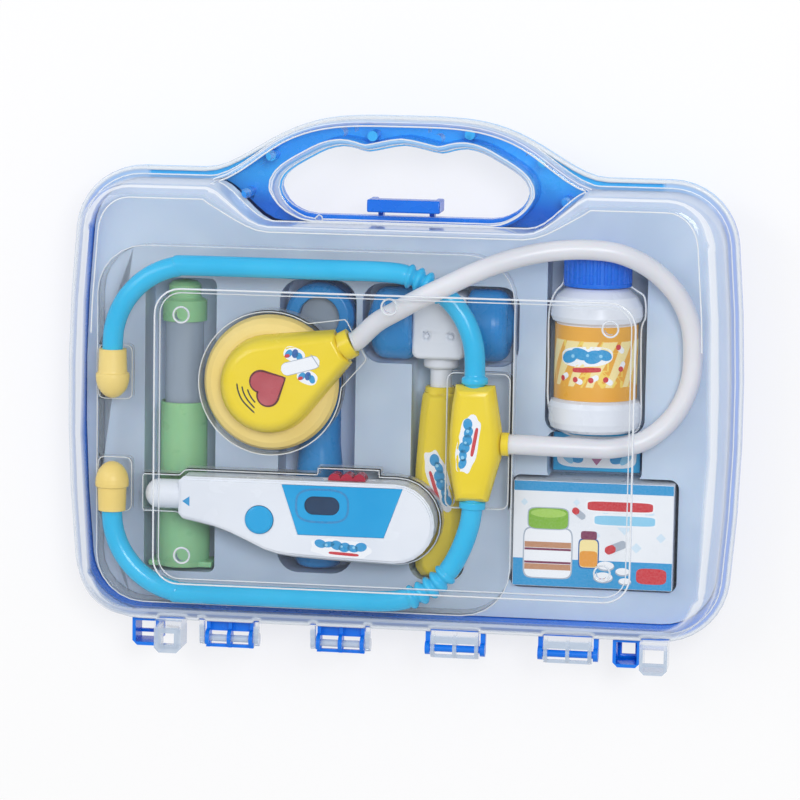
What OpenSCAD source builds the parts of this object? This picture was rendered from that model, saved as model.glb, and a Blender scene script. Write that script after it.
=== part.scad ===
// Toy doctor case: a clear-fronted carry case lying on its back, with a stethoscope, a thermometer,
// a syringe, a reflex hammer, an otoscope, a medicine bottle and two cartons in their pockets.
// +X is to the right, +Y towards the handle, +Z up out of the clear lid. Millimetres.

/* [Case] */
// Width of the closed case over its flanges
case_w = 280; // [278:1:300]
// Height of the body without handle and feet
body_h = 190; // [188:1:200]
// Depth of each half, from the parting line to its raised panel
half_d = 30; // [30:0.5:36]
// Wall of the moulded halves
wall = 1.8; // [1.4:0.1:2.2]
// How far the closing flange stands proud of the wall
flange = 3; // [2.6:0.1:4]
// Thickness of the closing flange
flange_t = 3; // [2:0.1:3.6]
// Radius of the body's corners at the flange
corner_r = 28; // [26:1:32]
// How far each side bulges outwards
side_bulge = 3.1; // [2:0.1:5]
// Draft of the walls in degrees
draft = 6; // [4:0.5:8]
// Rounding between wall and face at the sides
side_round = 10; // [7:0.5:12]
// Rounding between wall and face at the top and bottom
end_round = 5.5; // [4:0.5:7]
// Gap between the two closed halves
parting_gap = 0.2; // [0.1:0.05:0.4]
// Height of the raised panel on each face
panel_h = 1; // [0.6:0.1:1.2]
// How far the feet reach below the body
foot_drop = 12; // [11.5:0.5:14]
// Width of each foot
foot_w = 11.4; // [10:0.2:11.6]

/* [Handle] */
// How far the handle rises above the body
handle_rise = 23; // [23:0.5:28]
// Half the width of the handle's arch where it meets the body
handle_half_w = 83; // [80:1:90]
// Depth of each half of the handle
handle_d = 13; // [11:0.5:15]
// Lip of the two halves round the grip
grip_lip = 0.8; // [0.5:0.1:1]

/* [Hinge and latch] */
// Distance from the body's edge to the hinge axis
hinge_out = 7.3; // [7:0.1:8]
// Radius of the hinge rods
rod_r = 1.5; // [1.3:0.1:1.7]
// Clearance round a hinge rod, on the radius
rod_clear = 0.08; // [0.05:0.01:0.1]
// Width of one hinge over its ears
hinge_w = 25; // [23:0.5:26]
// Width of the latch
latch_w = 30; // [26:1:34]
// Radius of the latch's trunnions
trunnion_r = 1.3; // [1:0.1:1.5]
// Gap between the lid's lip and the latch in front of it
latch_clear = 1.6; // [1.4:0.1:2.2]

/* [Trays] */
// Level of the coloured tray's top
tray_top = 24; // [24:0.5:25]
// Thickness of the coloured tray's sheet
tray_sheet = 0.9; // [0.7:0.1:1]
// Level of the clear blister's top
blister_top = 35.4; // [35.4:0.1:36]
// Thickness of the clear blister's sheet
blister_sheet = 0.6; // [0.4:0.1:0.6]
// Gap between a piece and the pocket it lies in
seat_gap = 0.3; // [0.2:0.05:0.35]
// Room round a tool in its pocket, sideways
pocket_room = 1.6; // [1.2:0.1:2]

/* [Stethoscope] */
// Diameter of the chestpiece disc
disc_d = 56.4; // [52:0.2:57]
// Height of the chestpiece disc
disc_h = 8.4; // [8:0.1:9]
// Height of the chestpiece cover
cover_h = 10; // [9.5:0.1:10.5]
// Diameter of the cover's round part
cover_d = 41; // [38:0.5:42]
// Wall of the chestpiece mouldings
chest_wall = 1.6; // [1.2:0.1:1.8]
// Travel of the heart button
heart_travel = 1.2; // [0.8:0.1:1.4]
// Clearance round each button in its hole
button_clear = 0.25; // [0.15:0.05:0.35]
// Diameter of the white tube
hose_d = 8.2; // [7.6:0.1:8.4]
// Diameter of the blue ear tubes
ear_tube_d = 8.5; // [8:0.1:8.6]
// Length of the yoke
yoke_l = 48; // [46:0.5:50]
// Width of the yoke at its ends
yoke_w = 16.5; // [15:0.5:17]
// Diameter of the ear tips
ear_tip_d = 14; // [13:0.2:14.4]

/* [Thermometer] */
// Thickness of the thermometer
thermo_t = 16; // [15:0.2:16.4]
// Wall of the thermometer's shells
thermo_wall = 1.5; // [1.2:0.1:1.8]
// Diameter of its probe
probe_d = 12.2; // [11:0.2:13]
// Diameter of its round button
thermo_button_d = 11.6; // [10:0.2:12.4]
// Travel of the round button
thermo_travel = 1; // [0.6:0.1:1.2]
// Travel of the red slider to each side
slider_travel = 4; // [2:0.5:4.5]
// Length of the red slider
slider_l = 15.5; // [14:0.5:16]

/* [Bottle and cartons] */
// Diameter of the bottle
bottle_d = 38; // [36:0.5:39]
// Length of the bottle without its cap
bottle_l = 59; // [57:0.5:60]
// Diameter of the cap
cap_d = 28; // [26:0.5:30]
// Length of the cap
cap_l = 14; // [13:0.5:14.5]
// Width of the medicine carton
carton_w = 66; // [60:1:66]
// Height of the medicine carton in the picture plane
carton_h = 44; // [40:1:45]
// Depth of the medicine carton
carton_d = 24.5; // [20:0.5:25]
// Width of the small carton
small_carton_w = 36; // [32:1:37]
// Depth of the small carton
small_carton_d = 10; // [8:0.5:12]

/* [Syringe] */
// Diameter of the clear barrel
barrel_d = 16; // [15:0.2:16.4]
// Diameter of the green sleeve at its wide end
sleeve_d = 22.6; // [21:0.2:23]
// Travel of the plunger
plunger_travel = 18; // [10:1:20]

/* [Hammer and otoscope] */
// Length of the hammer's head
hammer_l = 62; // [58:0.5:62]
// Diameter of the hammer's round ends
hammer_d = 30; // [28:0.2:30.4]
// Width of the hammer's middle block
block_w = 22; // [20:0.5:24]
// Width of the hammer's handle
grip_w = 20; // [18:0.5:21]
// Thickness of the otoscope
scope_t = 20; // [18:0.2:20.4]

/* [Hidden] */
$fn = 48;
hull_fn = 32;
over = 1; // how far a cut runs past the face it opens

// The case in the picture plane
body_mid = -5.5;
body_top = body_mid + body_h / 2;
body_bottom = body_mid - body_h / 2;
part_z = half_d;
face_d = half_d - panel_h;
side_h = body_h / 2 - corner_r;
side_r = (side_h * side_h + side_bulge * side_bulge) / (2 * side_bulge);
side_cx = case_w / 2 - side_r;
side_a = asin(side_h / (side_r - corner_r));
corner_cx = side_cx + (side_r - corner_r) * cos(side_a);
slope = tan(draft);
gap = parting_gap / 2;
hinge_y = body_bottom - hinge_out;

// The handle opening: right half from the bottom to the crest, along the lip's edge
open_low = body_top - 17.9;
open_line = [[20, 0], [36, 0], [43, 1.7], [48.6, 5.5], [51, 10.5], [49.3, 15.5], [44.5, 19.5], [38, 23.3],
             [32, 26.4], [25.5, 27.9], [20, 27.1], [15, 25.9], [8, 27.3], [0, 28.7], [-8, 27.3]];
low_lip = flange - 0.9; // the lip along the bottom of the opening; the latch stands in front of it
dip_y = open_low - low_lip;
dip_in = 52;
dip_out = 78;
handle_round = 2;
handle_slope = 0.06;

// An arc as [x, y, normal x, normal y, dip] points; dip is 1 where the body sinks under the handle
function arc(c, r, a0, a1, n) = [for (i = [0:n]) let (a = a0 + (a1 - a0) * i / n)
    [c[0] + r * cos(a), c[1] + r * sin(a), cos(a), sin(a), 0]];
function flip(line) = [for (i = [len(line) - 1:-1:0]) let (p = line[i])
    [-p[0], p[1], -p[2], p[3], p[4]]];
function unit(v) = v / norm(v);

// The rounded body edge, from its bottom right corner to its top right corner
function body_side(inset) = concat(
    arc([corner_cx, body_bottom + corner_r], corner_r - inset, -90, -side_a, 9),
    arc([side_cx, body_mid], side_r - inset, -side_a * 0.6, side_a * 0.6, 3),
    arc([corner_cx, body_top - corner_r], corner_r - inset, side_a, 90, 9));

// How deep the tub's top edge has sunk at x, from 0 at the corners to 1 under the handle
function sunk(x) = (1 - cos(180 * min(1, max(0, (dip_out - x) / (dip_out - dip_in))))) / 2;
function sunk_rate(x) = -PI / 2 * sin(180 * (dip_out - x) / (dip_out - dip_in)) / (dip_out - dip_in);
tub_drop = body_top - flange - dip_y;
tub_half = concat(body_side(flange), [for (i = [0:8]) let (
    x = dip_out + (dip_in - dip_out) * i / 8,
    n = unit([tub_drop * sunk_rate(x), 1]))
    [x, body_top - flange - tub_drop * sunk(x), n[0], n[1], sunk(x)]]);
tub_line = concat(tub_half, flip(tub_half));

// Rings of the tub's wall, from the parting line up into the face; grow moves them inwards
function tub_round(p, grow) = max(0.8, (end_round + (side_round - end_round) * p[2] * p[2]) * (1 - p[4])
    + 2.5 * p[4] - grow);
function tub_point(p, k, grow, depth, start) = let (
    r = tub_round(p, grow), s = slope * (1 - 0.65 * p[4]), a = max(0, k - 1) * 22.5,
    w = k == 0 ? start : depth - r + r * sin(a),
    d = grow + s * min(w, depth - r) + r * (1 - cos(a)))
    [p[0] - p[2] * d, p[1] - p[3] * d, w];
function tub_rings(grow, depth, start) =
    [for (k = [0:5]) [for (p = tub_line) tub_point(p, k, grow, depth, start)]];

// The handle's arch over the body, at the flange edge
function arch_y(x) = body_top + handle_rise * (1 + cos(180 * pow(min(1, abs(x) / handle_half_w), 1.85))) / 2;
function arch_point(x) = let (n = unit([arch_y(x - 0.5) - arch_y(x + 0.5), 1])) [x, arch_y(x), n[0], n[1], 0];
arch_steps = 18;
arch_half = [for (i = [0:arch_steps]) arch_point(handle_half_w * (1 - i / arch_steps))];
arch_line = concat(arch_half, [for (i = [1:arch_steps]) arch_point(-handle_half_w * i / arch_steps)],
    [[-handle_half_w, open_low - 12, 0, 0, 0], [handle_half_w, open_low - 12, 0, 0, 0]]);
function arch_inset(x) = 1 + (flange - 0.4) * (1 - cos(180 * min(1, max(0, (abs(x) - 45) / 38)))) / 2;
function arch_rings(grow, depth, start) = [for (k = [0:4]) [for (p = arch_line) let (
    r = max(0.8, handle_round - grow), a = max(0, k - 1) * 30,
    w = k == 0 ? start : depth - r + r * sin(a),
    d = arch_inset(p[0]) + grow + handle_slope * min(w, depth - r) + r * (1 - cos(a)))
    [p[0] - p[2] * d, p[1] - p[3] * d, w]]];

// The opening's closed line through its control points, two steps a span
function between(a, b, c, d, t) = 0.5 * ((2 * b) + (c - a) * t + (2 * a - 5 * b + 4 * c - d) * t * t
    + (3 * b - a - 3 * c + d) * t * t * t);
open_half = [for (i = [1:len(open_line) - 3]) for (t = [0, 0.5])
    between(open_line[i - 1], open_line[i], open_line[i + 1], open_line[i + 2], t) + [0, open_low]];
open_xy = concat(open_half, [[0, open_line[13][1] + open_low]],
    [for (i = [len(open_half) - 1:-1:0]) [-open_half[i][0], open_half[i][1]]]);
open_loop = [for (i = [0:len(open_xy) - 1]) let (
    n = len(open_xy), t = unit(open_xy[(i + 1) % n] - open_xy[(i + n - 1) % n]))
    [open_xy[i][0], open_xy[i][1], t[1], -t[0], max(0, t[0])]];
function open_rings(grow, start) = [for (k = [0:5]) [for (p = open_loop) let (
    lift = 1 - p[4], r = max(0.6, handle_round + grow), a = min(max(0, k - 1), 3) * 30,
    w = k == 0 ? start : k == 5 ? handle_d + over : handle_d - r + r * sin(a),
    e = grip_lip * lift + (low_lip - 0.05) * p[4] * p[4] + grow
        + lift * (handle_slope * max(0, min(w, handle_d - r)) + r * (1 - cos(a))))
    [p[0] + p[2] * e, p[1] + p[3] * e, w]]];

// The flange's outer edge, body and handle in one line
rim_half = concat(body_side(0), [for (i = [0:arch_steps - 1]) arch_half[i]]);
rim_line = concat(rim_half, [arch_point(0)], flip(rim_half));
function xy(line) = [for (p = line) [p[0], p[1]]];

// A closed solid through rings of as many points each, listed counter-clockwise from below upwards
module loft(rings) {
    n = len(rings[0]);
    m = len(rings);
    polyhedron(
        points = [for (ring = rings) for (p = ring) p],
        faces = concat(
            [[for (i = [0:n - 1]) i]],
            [[for (i = [n - 1:-1:0]) (m - 1) * n + i]],
            [for (j = [0:m - 2]) for (i = [0:n - 1])
                [j * n + i, (j + 1) * n + i, (j + 1) * n + (i + 1) % n]],
            [for (j = [0:m - 2]) for (i = [0:n - 1])
                [j * n + i, (j + 1) * n + (i + 1) % n, j * n + (i + 1) % n]]));
}

// A tube through points, with one radius for each point
function side_of(t) = unit(cross(t, abs(t[2]) > 0.9 ? [0, 1, 0] : [0, 0, 1]));
module tube(points, radii, sides) {
    n = len(points);
    loft([for (i = [0:n - 1]) let (
        t = unit(points[min(n - 1, i + 1)] - points[max(0, i - 1)]),
        s = side_of(t), u = cross(s, t))
        [for (k = [0:sides - 1]) let (a = -360 * k / sides)
            points[i] + radii[i] * (cos(a) * s + sin(a) * u)]]);
}

// A rectangle with round corners, centred on c
function round_rect(c, w, h, r, n = 6) = concat(
    xy(arc(c + [w / 2 - r, -h / 2 + r], r, -90, 0, n)), xy(arc(c + [w / 2 - r, h / 2 - r], r, 0, 90, n)),
    xy(arc(c + [-w / 2 + r, h / 2 - r], r, 90, 180, n)), xy(arc(c + [-w / 2 + r, -h / 2 + r], r, 180, 270, n)));
module plate(c, w, h, r, z0, z1, n = 6) {
    translate([0, 0, z0]) linear_extrude(z1 - z0) polygon(round_rect(c, w, h, r, n));
}

// Turned profiles stand along X, Y or a slanted line
module along_x(p) { translate(p) rotate([0, 90, 0]) children(); }
module along_y(p) { translate(p) rotate([-90, 0, 0]) children(); }

// ---------- Case halves, drawn with the parting line at z = 0 and the face upwards ----------

panel_c = [0, -18.95];
panel_w = 196.6;
panel_l = 122.5;
panel_r = 11;
boss_r = 3.3;
bosses = [[-87.5, 31], [87.5, 31], [-86.5, -68.4], [86.5, -68.4], [-2, 37]];
posts = [[-66, 79], [-56, 95], [-26, 105.4], [14, 103.8], [56, 94.6], [66, 79]];
peg_x = -35;
hinge_x = [-71, -24];
foot_x = [-95, 107];

module wall_shell() {
    difference() {
        union() {
            loft(tub_rings(0, face_d, gap));
            loft(arch_rings(0, handle_d, gap));
            translate([0, 0, gap]) linear_extrude(flange_t - gap) polygon(xy(rim_line));
            plate(panel_c, panel_w, panel_l, panel_r, face_d - over, half_d);
        }
        difference() {
            union() {
                loft(tub_rings(wall, face_d - wall, -over));
                loft(arch_rings(wall, handle_d - wall, -over));
            }
            loft(open_rings(wall + 0.1, -over));
        }
        plate(panel_c, panel_w - 2 * wall, panel_l - 2 * wall, panel_r - wall, face_d - wall - over, half_d - wall);
        loft(open_rings(0, flange_t));
        translate([0, 0, -over]) linear_extrude(handle_d) polygon(xy(open_loop));
    }
    for (p = posts) translate([p[0], p[1], gap]) cylinder(r = 2.1, h = handle_d - wall);
    translate([peg_x, open_low - 1.5, flange_t - 0.5]) cylinder(r = 1.2, h = 3);
    foot(foot_x[0], true);
    foot(foot_x[1], false);
}
// One half: its moulded wall, brought to the full width over the flanges, and its hinge parts
module half_case() {
    resize([case_w, 0, 0]) wall_shell($fn = 20);
    hinge_ears(hinge_x[0]);
    hinge_ears(hinge_x[1]);
    hinge_hooks(-hinge_x[0]);
    hinge_hooks(-hinge_x[1]);
}

// Outlines in the plane across the hinge: +X of the outline is +Y of the case
module across(x0, x1) {
    translate([x0, hinge_y, 0]) rotate([90, 0, 90]) linear_extrude(x1 - x0) children();
}
ear_r = rod_r + 1.3;
hook_r = rod_r + 2.4;
ear_t = 2;
rib_t = 1.6;
module neck(r) {
    polygon([[0, gap], [hinge_out + 1.5, gap], [hinge_out + 1.5, flange_t + 1], [-r * 0.5, r * 0.8]]);
}
module hinge_ears(x) {
    for (s = [-1, 1]) let (x0 = x + s * (hinge_w - ear_t) / 2 - ear_t / 2)
        across(x0, x0 + ear_t) { circle(r = ear_r); neck(ear_r); }
    along_x([x - hinge_w / 2 + ear_t / 2, hinge_y, 0]) cylinder(r = rod_r, h = hinge_w - ear_t);
}
rib_x = hinge_w / 2 - ear_t - 0.5 - rib_t / 2;
module hinge_hooks(x) {
    for (s = [-1, 0, 1]) across(x + s * rib_x - rib_t / 2, x + s * rib_x + rib_t / 2) difference() {
        union() { circle(r = hook_r); neck(hook_r); }
        circle(r = rod_r + rod_clear);
        rotate(-145) translate([0, -rod_r * 0.8]) square([hook_r + over, rod_r * 1.6]);
    }
    across(x - rib_x, x + rib_x) translate([rod_r + 1.2, flange_t - 1])
        square([hinge_out - rod_r + 0.3, 1.4]);
    across(x - rib_x, x + rib_x) translate([-hook_r + 0.1, -0.4]) square([1.3, 1.6]);
}

foot_wall = 1.4;
foot_d = 13;
module foot(x, windowed) {
    low = body_bottom - foot_drop;
    h = body_bottom + 1.5 - low;
    translate([x, low, gap]) difference() {
        linear_extrude(foot_d - gap) polygon([[-foot_w / 2 + 2, 0], [foot_w / 2 - 2, 0], [foot_w / 2, 2],
            [foot_w / 2, h], [-foot_w / 2, h], [-foot_w / 2, 2]]);
        translate([-foot_w / 2 + foot_wall, foot_wall, -over])
            cube([foot_w - 2 * foot_wall, h - 2 * foot_wall - 1.5, foot_d - (windowed ? foot_wall : 0) + over]);
        if (windowed) translate([-2.8, 3.4, 0]) cube([5.6, h - 8.6, foot_d]);
    }
    if (!windowed) translate([x - foot_w / 2 + 1, low + 3.4, foot_d - 1.6]) cube([foot_w - 2, 1.4, 1.4]);
}

// Snap tabs of the lid, inside the handle's outer wall at these x
tab_x = [-61.5, -22, 8.5, 51];
module lid_shell() {
    color([0.85, 0.92, 0.98, 0.35]) translate([0, 0, part_z]) {
        half_case();
        for (b = bosses) translate([b[0], b[1], half_d - wall - 3]) difference() {
            cylinder(r = boss_r, h = 3.4);
            translate([0, 0, -over]) cylinder(r = boss_r - 1.1, h = 4);
        }
        for (x = tab_x) let (p = arch_point(x)) translate([x, p[1], gap]) rotate(atan2(-p[2], p[3]))
            translate([-2, -arch_inset(x) - wall - 3.4, 0]) cube([4, 4, handle_d - wall]);
    }
}

cheek_t = 3;
lug_t = 2;
lug_x = latch_w / 2 - cheek_t - 0.4 - lug_t;     // inner face of the lugs, which stand between the cheeks
pivot_y = open_low + 3.6;
pivot_z = part_z - 6;
module rear_shell() {
    color("RoyalBlue") {
        translate([0, 0, part_z]) rotate([0, 180, 0]) half_case();
        for (s = [-1, 1]) translate([s * (lug_x + lug_t / 2) - lug_t / 2, pivot_y, pivot_z]) rotate([90, 0, 90])
            linear_extrude(lug_t) difference() {
                union() {
                    circle(r = trunnion_r + 1.2);
                    polygon([[dip_y - 0.6 - pivot_y, -2.4], [0, -2.4], [0, 2.4], [dip_y - 0.6 - pivot_y, 2.9]]);
                }
                circle(r = trunnion_r + rod_clear);
            }
    }
}

// The latch turns on two trunnions and stands in front of the lid's lip; its cap shows from the front
cap_t = 2;
latch_top = part_z + flange_t + 3;
latch_in = open_low + latch_clear;
latch_out = latch_in + 5.2;
module latch() {
    color("MediumBlue") {
        translate([-latch_w / 2, latch_in, latch_top - cap_t]) cube([latch_w, latch_out - latch_in, cap_t]);
        translate([-latch_w / 2, latch_out - cap_t, part_z - 2.5])
            cube([latch_w, cap_t, latch_top - part_z + 1.5]);
        for (s = [-1, 1]) {
            translate([s * (latch_w - cheek_t) / 2 - cheek_t / 2, latch_in, pivot_z - 2.6])
                cube([cheek_t, latch_out - latch_in, latch_top - pivot_z + 1.6]);
            along_x([s > 0 ? lug_x - 0.4 : -latch_w / 2 + cheek_t - 0.5, pivot_y, pivot_z])
                cylinder(r = trunnion_r, h = latch_w / 2 - cheek_t - lug_x + 0.9);
        }
    }
}

// ---------- Levels inside the case ----------

floor_z = half_d - face_d + wall;            // inner face of the rear shell
tray_low = floor_z + seat_gap;               // underside of the deepest pockets
pocket_floor = tray_low + tray_sheet;        // what the lower tools lie on
low_seat = pocket_floor + seat_gap;          // lowest level of the lower tools
tray_inset = wall + slope * (part_z - tray_top) + 0.35;
tray_edge = [for (p = tub_line) [p[0] - p[2] * tray_inset, p[1] - p[3] * tray_inset]];
rib_out = 0.35;                              // how far a rib stands out of its ear tube
tube_z = blister_top + ear_tube_d / 2 + rib_out + seat_gap;
disc_seat = 26.8;                            // underside of the chestpiece
thermo_seat = 28.3;                          // underside of the thermometer

// ---------- Lower tools: places and sizes that the pockets share ----------

syringe_x = -94.3;
syringe_z = low_seat + sleeve_d / 2;
sleeve_low = -79.7;
sleeve_top = -10;
barrel_low = -31;
barrel_top = 32;
nozzle_top = 41;
flange_w = 27;

scope_x = -36.5;
scope_w = 29;
scope_low = -78;
scope_top = 42;
scope_z = low_seat + scope_t / 2;

hammer_c = [14.7, 26.4];
hammer_z = low_seat + hammer_d / 2;
grip_top = 0.5;
grip_low = -79;
grip_t = 16;

bottle_x = 79.1;
bottle_z = low_seat + bottle_d / 2;
bottle_low = -14.6;
bottle_top = bottle_low + bottle_l;

carton_c = [80, -58];
small_c = [79.5, -25.6];
small_h = 16;

function room(v) = v + 2 * pocket_room;
// Pockets of the coloured tray: [centre, width, height, corner radius]
function pocket_list(grow) = [
    [[syringe_x, (sleeve_low + nozzle_top) / 2], room(flange_w) + grow, room(nozzle_top - sleeve_low) + grow, 3],
    [[scope_x, (scope_low + scope_top) / 2], room(scope_w) + grow, room(scope_top - scope_low) + grow, 9],
    [hammer_c, room(hammer_l) + grow, room(hammer_d) + grow, 8],
    [[hammer_c[0], (grip_low + hammer_c[1]) / 2], room(grip_w) + grow, room(hammer_c[1] - grip_low) + grow, 7],
    [[bottle_x, bottle_low + (bottle_l + cap_l) / 2], room(bottle_d) + grow, room(bottle_l + cap_l) + grow, 6],
    [carton_c, room(carton_w) + grow, room(carton_h) + grow, 4],
    [small_c, room(small_carton_w) + grow, room(small_h) + grow, 3]];

module parts_tray() {
    color("LightSteelBlue") difference() {
        union() {
            translate([0, 0, tray_top - tray_sheet]) linear_extrude(tray_sheet) polygon(tray_edge);
            for (p = pocket_list(2 * tray_sheet)) plate(p[0], p[1], p[2], p[3] + tray_sheet, tray_low, tray_top);
        }
        for (p = pocket_list(0)) plate(p[0], p[1], p[2], p[3], pocket_floor, tray_top + over);
    }
}

// ---------- Stethoscope: places ----------

disc_c = [-54.5, 1.1];
neck_a = 28.5;
neck_end = 35;
neck_w = 15.4;
collar_l = 4.8;
collar_r = 6.1;
cover_z = disc_seat + disc_h;
cover_top = cover_z + cover_h;
hose_z = cover_z + 5;
heart_c = [-53.2, 1.3];
yoke_c = [31.3, -19.6];
yoke_z = tube_z;
yoke_port = 5.6;
yoke_side = yoke_w / 2 + 3.3;
port_l = 3;
tip_x = 20.5 - case_w / 2;
upper_tip_y = 14;
lower_tip_y = -53.5;
tip_l = 20.5;
upper_run = 49.5;
lower_run = -87.2;
bend_r = 33;

// ---------- Thermometer: places ----------

thermo_z = thermo_seat + thermo_t / 2;
thermo_top = thermo_seat + thermo_t;
thermo_top_y = -37.8;
thermo_left = -91;
probe_y = -46.3;
button_c = [-56.6, -54.4];
slider_c = [-21, thermo_top_y];
thermo_end = [-0.5, thermo_top_y - 16.5];
// The outline runs along the top edge, round the right end and back under the slanted belly
thermo_line = concat([[thermo_left + 2.2, thermo_top_y], [thermo_left, thermo_top_y - 2],
    [thermo_left, thermo_top_y - 15.6], [thermo_left + 1.6, thermo_top_y - 17.4], [-83.5, -56.4], [-76.2, -58],
    [-69.7, -60.2], [-62, -63.6], [-54.9, -66.9], [-49.5, -68.4], [-44, -69.1], [-29, -69.9]],
    [for (i = [0:12]) let (a = -90 + 15 * i) thermo_end + 16.5 * [cos(a), sin(a)]]);

module thermo_plate(inset, z0, z1) {
    translate([0, 0, z0]) linear_extrude(z1 - z0) offset(delta = -inset) polygon(thermo_line);
}

// ---------- Clear blister over the lower tools ----------

blister_left = tip_x - ear_tip_d / 2 - 0.6;
blister_right = hammer_c[0] + hammer_l / 2 + seat_gap + blister_sheet;
blister_low = lower_run - ear_tube_d / 2 - 1.2;
blister_high = upper_run + ear_tube_d / 2 + 3;
blister_c = [(blister_left + blister_right) / 2, (blister_low + blister_high) / 2];
blister_foot = tray_top + seat_gap;
function cup(seat) = seat - seat_gap - blister_sheet;
// Pockets of the clear blister: outlines for each upper piece, drawn wider by grow
module chest_outline(grow) {
    translate(disc_c) circle(r = disc_d / 2 + pocket_room + grow);
}
module neck_outline(grow) {
    near = cover_d / 2 + 1 + grow;
    far = neck_w / 2 + pocket_room + grow;
    translate(disc_c) rotate(neck_a) polygon([[8, -near], [neck_end + collar_l + 1 + grow, -far],
        [neck_end + collar_l + 1 + grow, far], [8, near]]);
}
module thermo_outline(grow) {
    offset(delta = pocket_room + grow) polygon(thermo_line);
    translate([thermo_left - 15 - pocket_room - grow, probe_y - probe_d / 2 - pocket_room - grow])
        square([20, probe_d + 2 * (pocket_room + grow)]);
    translate([slider_c[0] - slider_l / 2 - slider_travel - 1 - grow, slider_c[1] - 5])
        square([slider_l + 2 * (slider_travel + 1 + grow), 5 + hump_out + 1.2 + grow]);
}
module yoke_outline(grow) {
    polygon(round_rect(yoke_c + [1, 0], yoke_w + 7 + 2 * (1.2 + grow), yoke_l + 2 * (4 + grow), 3));
}
module tip_outline(y, grow) {
    polygon(round_rect([tip_x, y], ear_tip_d + 2 * (0.5 + grow) - 0.8, tip_l + 2 * (1 + grow), 2.5));
}
yoke_low = yoke_z - yoke_w / 2;
tip_low = tube_z - ear_tip_d / 2;
module cup_solid(z0, z1, grow) {
    translate([0, 0, z0]) linear_extrude(z1 - z0) {
        if ($cup == 0) chest_outline(grow);
        if ($cup == 1) thermo_outline(grow);
        if ($cup == 2) yoke_outline(grow);
        if ($cup == 3) tip_outline(upper_tip_y - tip_l / 2, grow);
        if ($cup == 4) tip_outline(lower_tip_y + tip_l / 2, grow);
        if ($cup == 5) neck_outline(grow);
    }
}
cup_levels = [cup(disc_seat), cup(thermo_seat), cup(yoke_low), cup(tip_low), cup(tip_low), cup(hose_z - collar_r)];
module clear_blister() {
    w = blister_right - blister_left;
    h = blister_high - blister_low;
    color([0.9, 0.95, 1, 0.3]) difference() {
        union() {
            difference() {
                plate(blister_c, w, h, 20, blister_foot, blister_top);
                plate(blister_c, w - 2 * blister_sheet, h - 2 * blister_sheet, 20 - blister_sheet,
                    blister_foot - over, blister_top - blister_sheet);
            }
            for ($cup = [0:5]) cup_solid(cup_levels[$cup], blister_top, blister_sheet);
        }
        for ($cup = [0:5]) cup_solid(cup_levels[$cup] + blister_sheet, blister_top + over, 0);
    }
}

// ---------- Stethoscope ----------

module chest_disc() {
    r = disc_d / 2;
    color("Khaki") translate([disc_c[0], disc_c[1], disc_seat]) difference() {
        rotate_extrude() polygon([[0, 0], [r - 3.2, 0], [r - 1, 1.2], [r, 3.2], [r, 4.4], [r - 1.2, 6.6],
            [r - 3.4, disc_h - 0.6], [r - 6.4, disc_h], [0, disc_h]]);
        translate([0, 0, chest_wall]) cylinder(r = cover_d / 2 - chest_wall - 1, h = disc_h);
        translate([-door_w / 2 - button_clear, -door_h / 2 - button_clear, -over])
            cube([door_w + 2 * button_clear, door_h + 2 * button_clear, chest_wall + 2 * over]);
        for (s = [-1, 1]) translate([s * screw_x, screw_y, -over]) cylinder(r = screw_r + 0.1, h = chest_wall + 2 * over);
    }
}

door_w = 19;
door_h = 13;
screw_x = 12;
screw_y = 10;
screw_r = 1.3;

module teardrop(r, neck, reach) {
    hull() {
        circle(r = r, $fn = hull_fn);
        translate([reach - 1, -neck / 2]) square([1, neck]);
    }
}
// The cover narrows from its round part to the neck and is rounded over at the top
module cover_solid(inset, z0, z1) {
    translate([disc_c[0], disc_c[1], 0]) rotate(neck_a) hull() {
        translate([0, 0, z0]) linear_extrude(0.1) teardrop(cover_d / 2 - inset, neck_w - 2 * inset, neck_end - inset);
        translate([0, 0, z1 - 3.6]) linear_extrude(0.1)
            teardrop(cover_d / 2 - 1 - inset, neck_w - 1.4 - 2 * inset, neck_end - inset);
        translate([0, 0, z1 - 1.1]) linear_extrude(0.1)
            teardrop(cover_d / 2 - 3.4 - inset, neck_w - 5 - 2 * inset, neck_end - 0.8 - inset);
        translate([0, 0, z1 - 0.1]) linear_extrude(0.1)
            teardrop(cover_d / 2 - 6 - inset, neck_w - 9 - 2 * inset + 1.6, neck_end - 2 - inset);
    }
}
// A heart with its tip towards +X: two round lobes and a blunt tip
module heart(grow) {
    r = 4.1 + grow;
    side = 3.2;
    notch = asin(side / r);
    polygon(concat([[7 + grow, -0.7], [7.3 + grow, 0], [7 + grow, 0.7]],
        [for (i = [0:10]) let (a = 50 + (130 + notch) * i / 10) [-1.9 + r * cos(a), side + r * sin(a)]],
        [for (i = [1:10]) let (a = 180 - notch + (130 + notch) * i / 10) [-1.9 + r * cos(a), -side + r * sin(a)]]));
}
module chest_cover() {
    color("Gold") difference() {
        cover_solid(0, cover_z, cover_top);
        cover_solid(chest_wall, cover_z - over, cover_top - chest_wall);
        translate([heart_c[0], heart_c[1], cover_top - 2 * chest_wall]) rotate(neck_a)
            linear_extrude(3 * chest_wall) heart(button_clear);
        translate([disc_c[0], disc_c[1], hose_z]) rotate([0, 0, neck_a]) along_x([neck_end - 4, 0, 0])
            cylinder(r = collar_r - 1.9 + 0.05, h = 8);
    }
}
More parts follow.
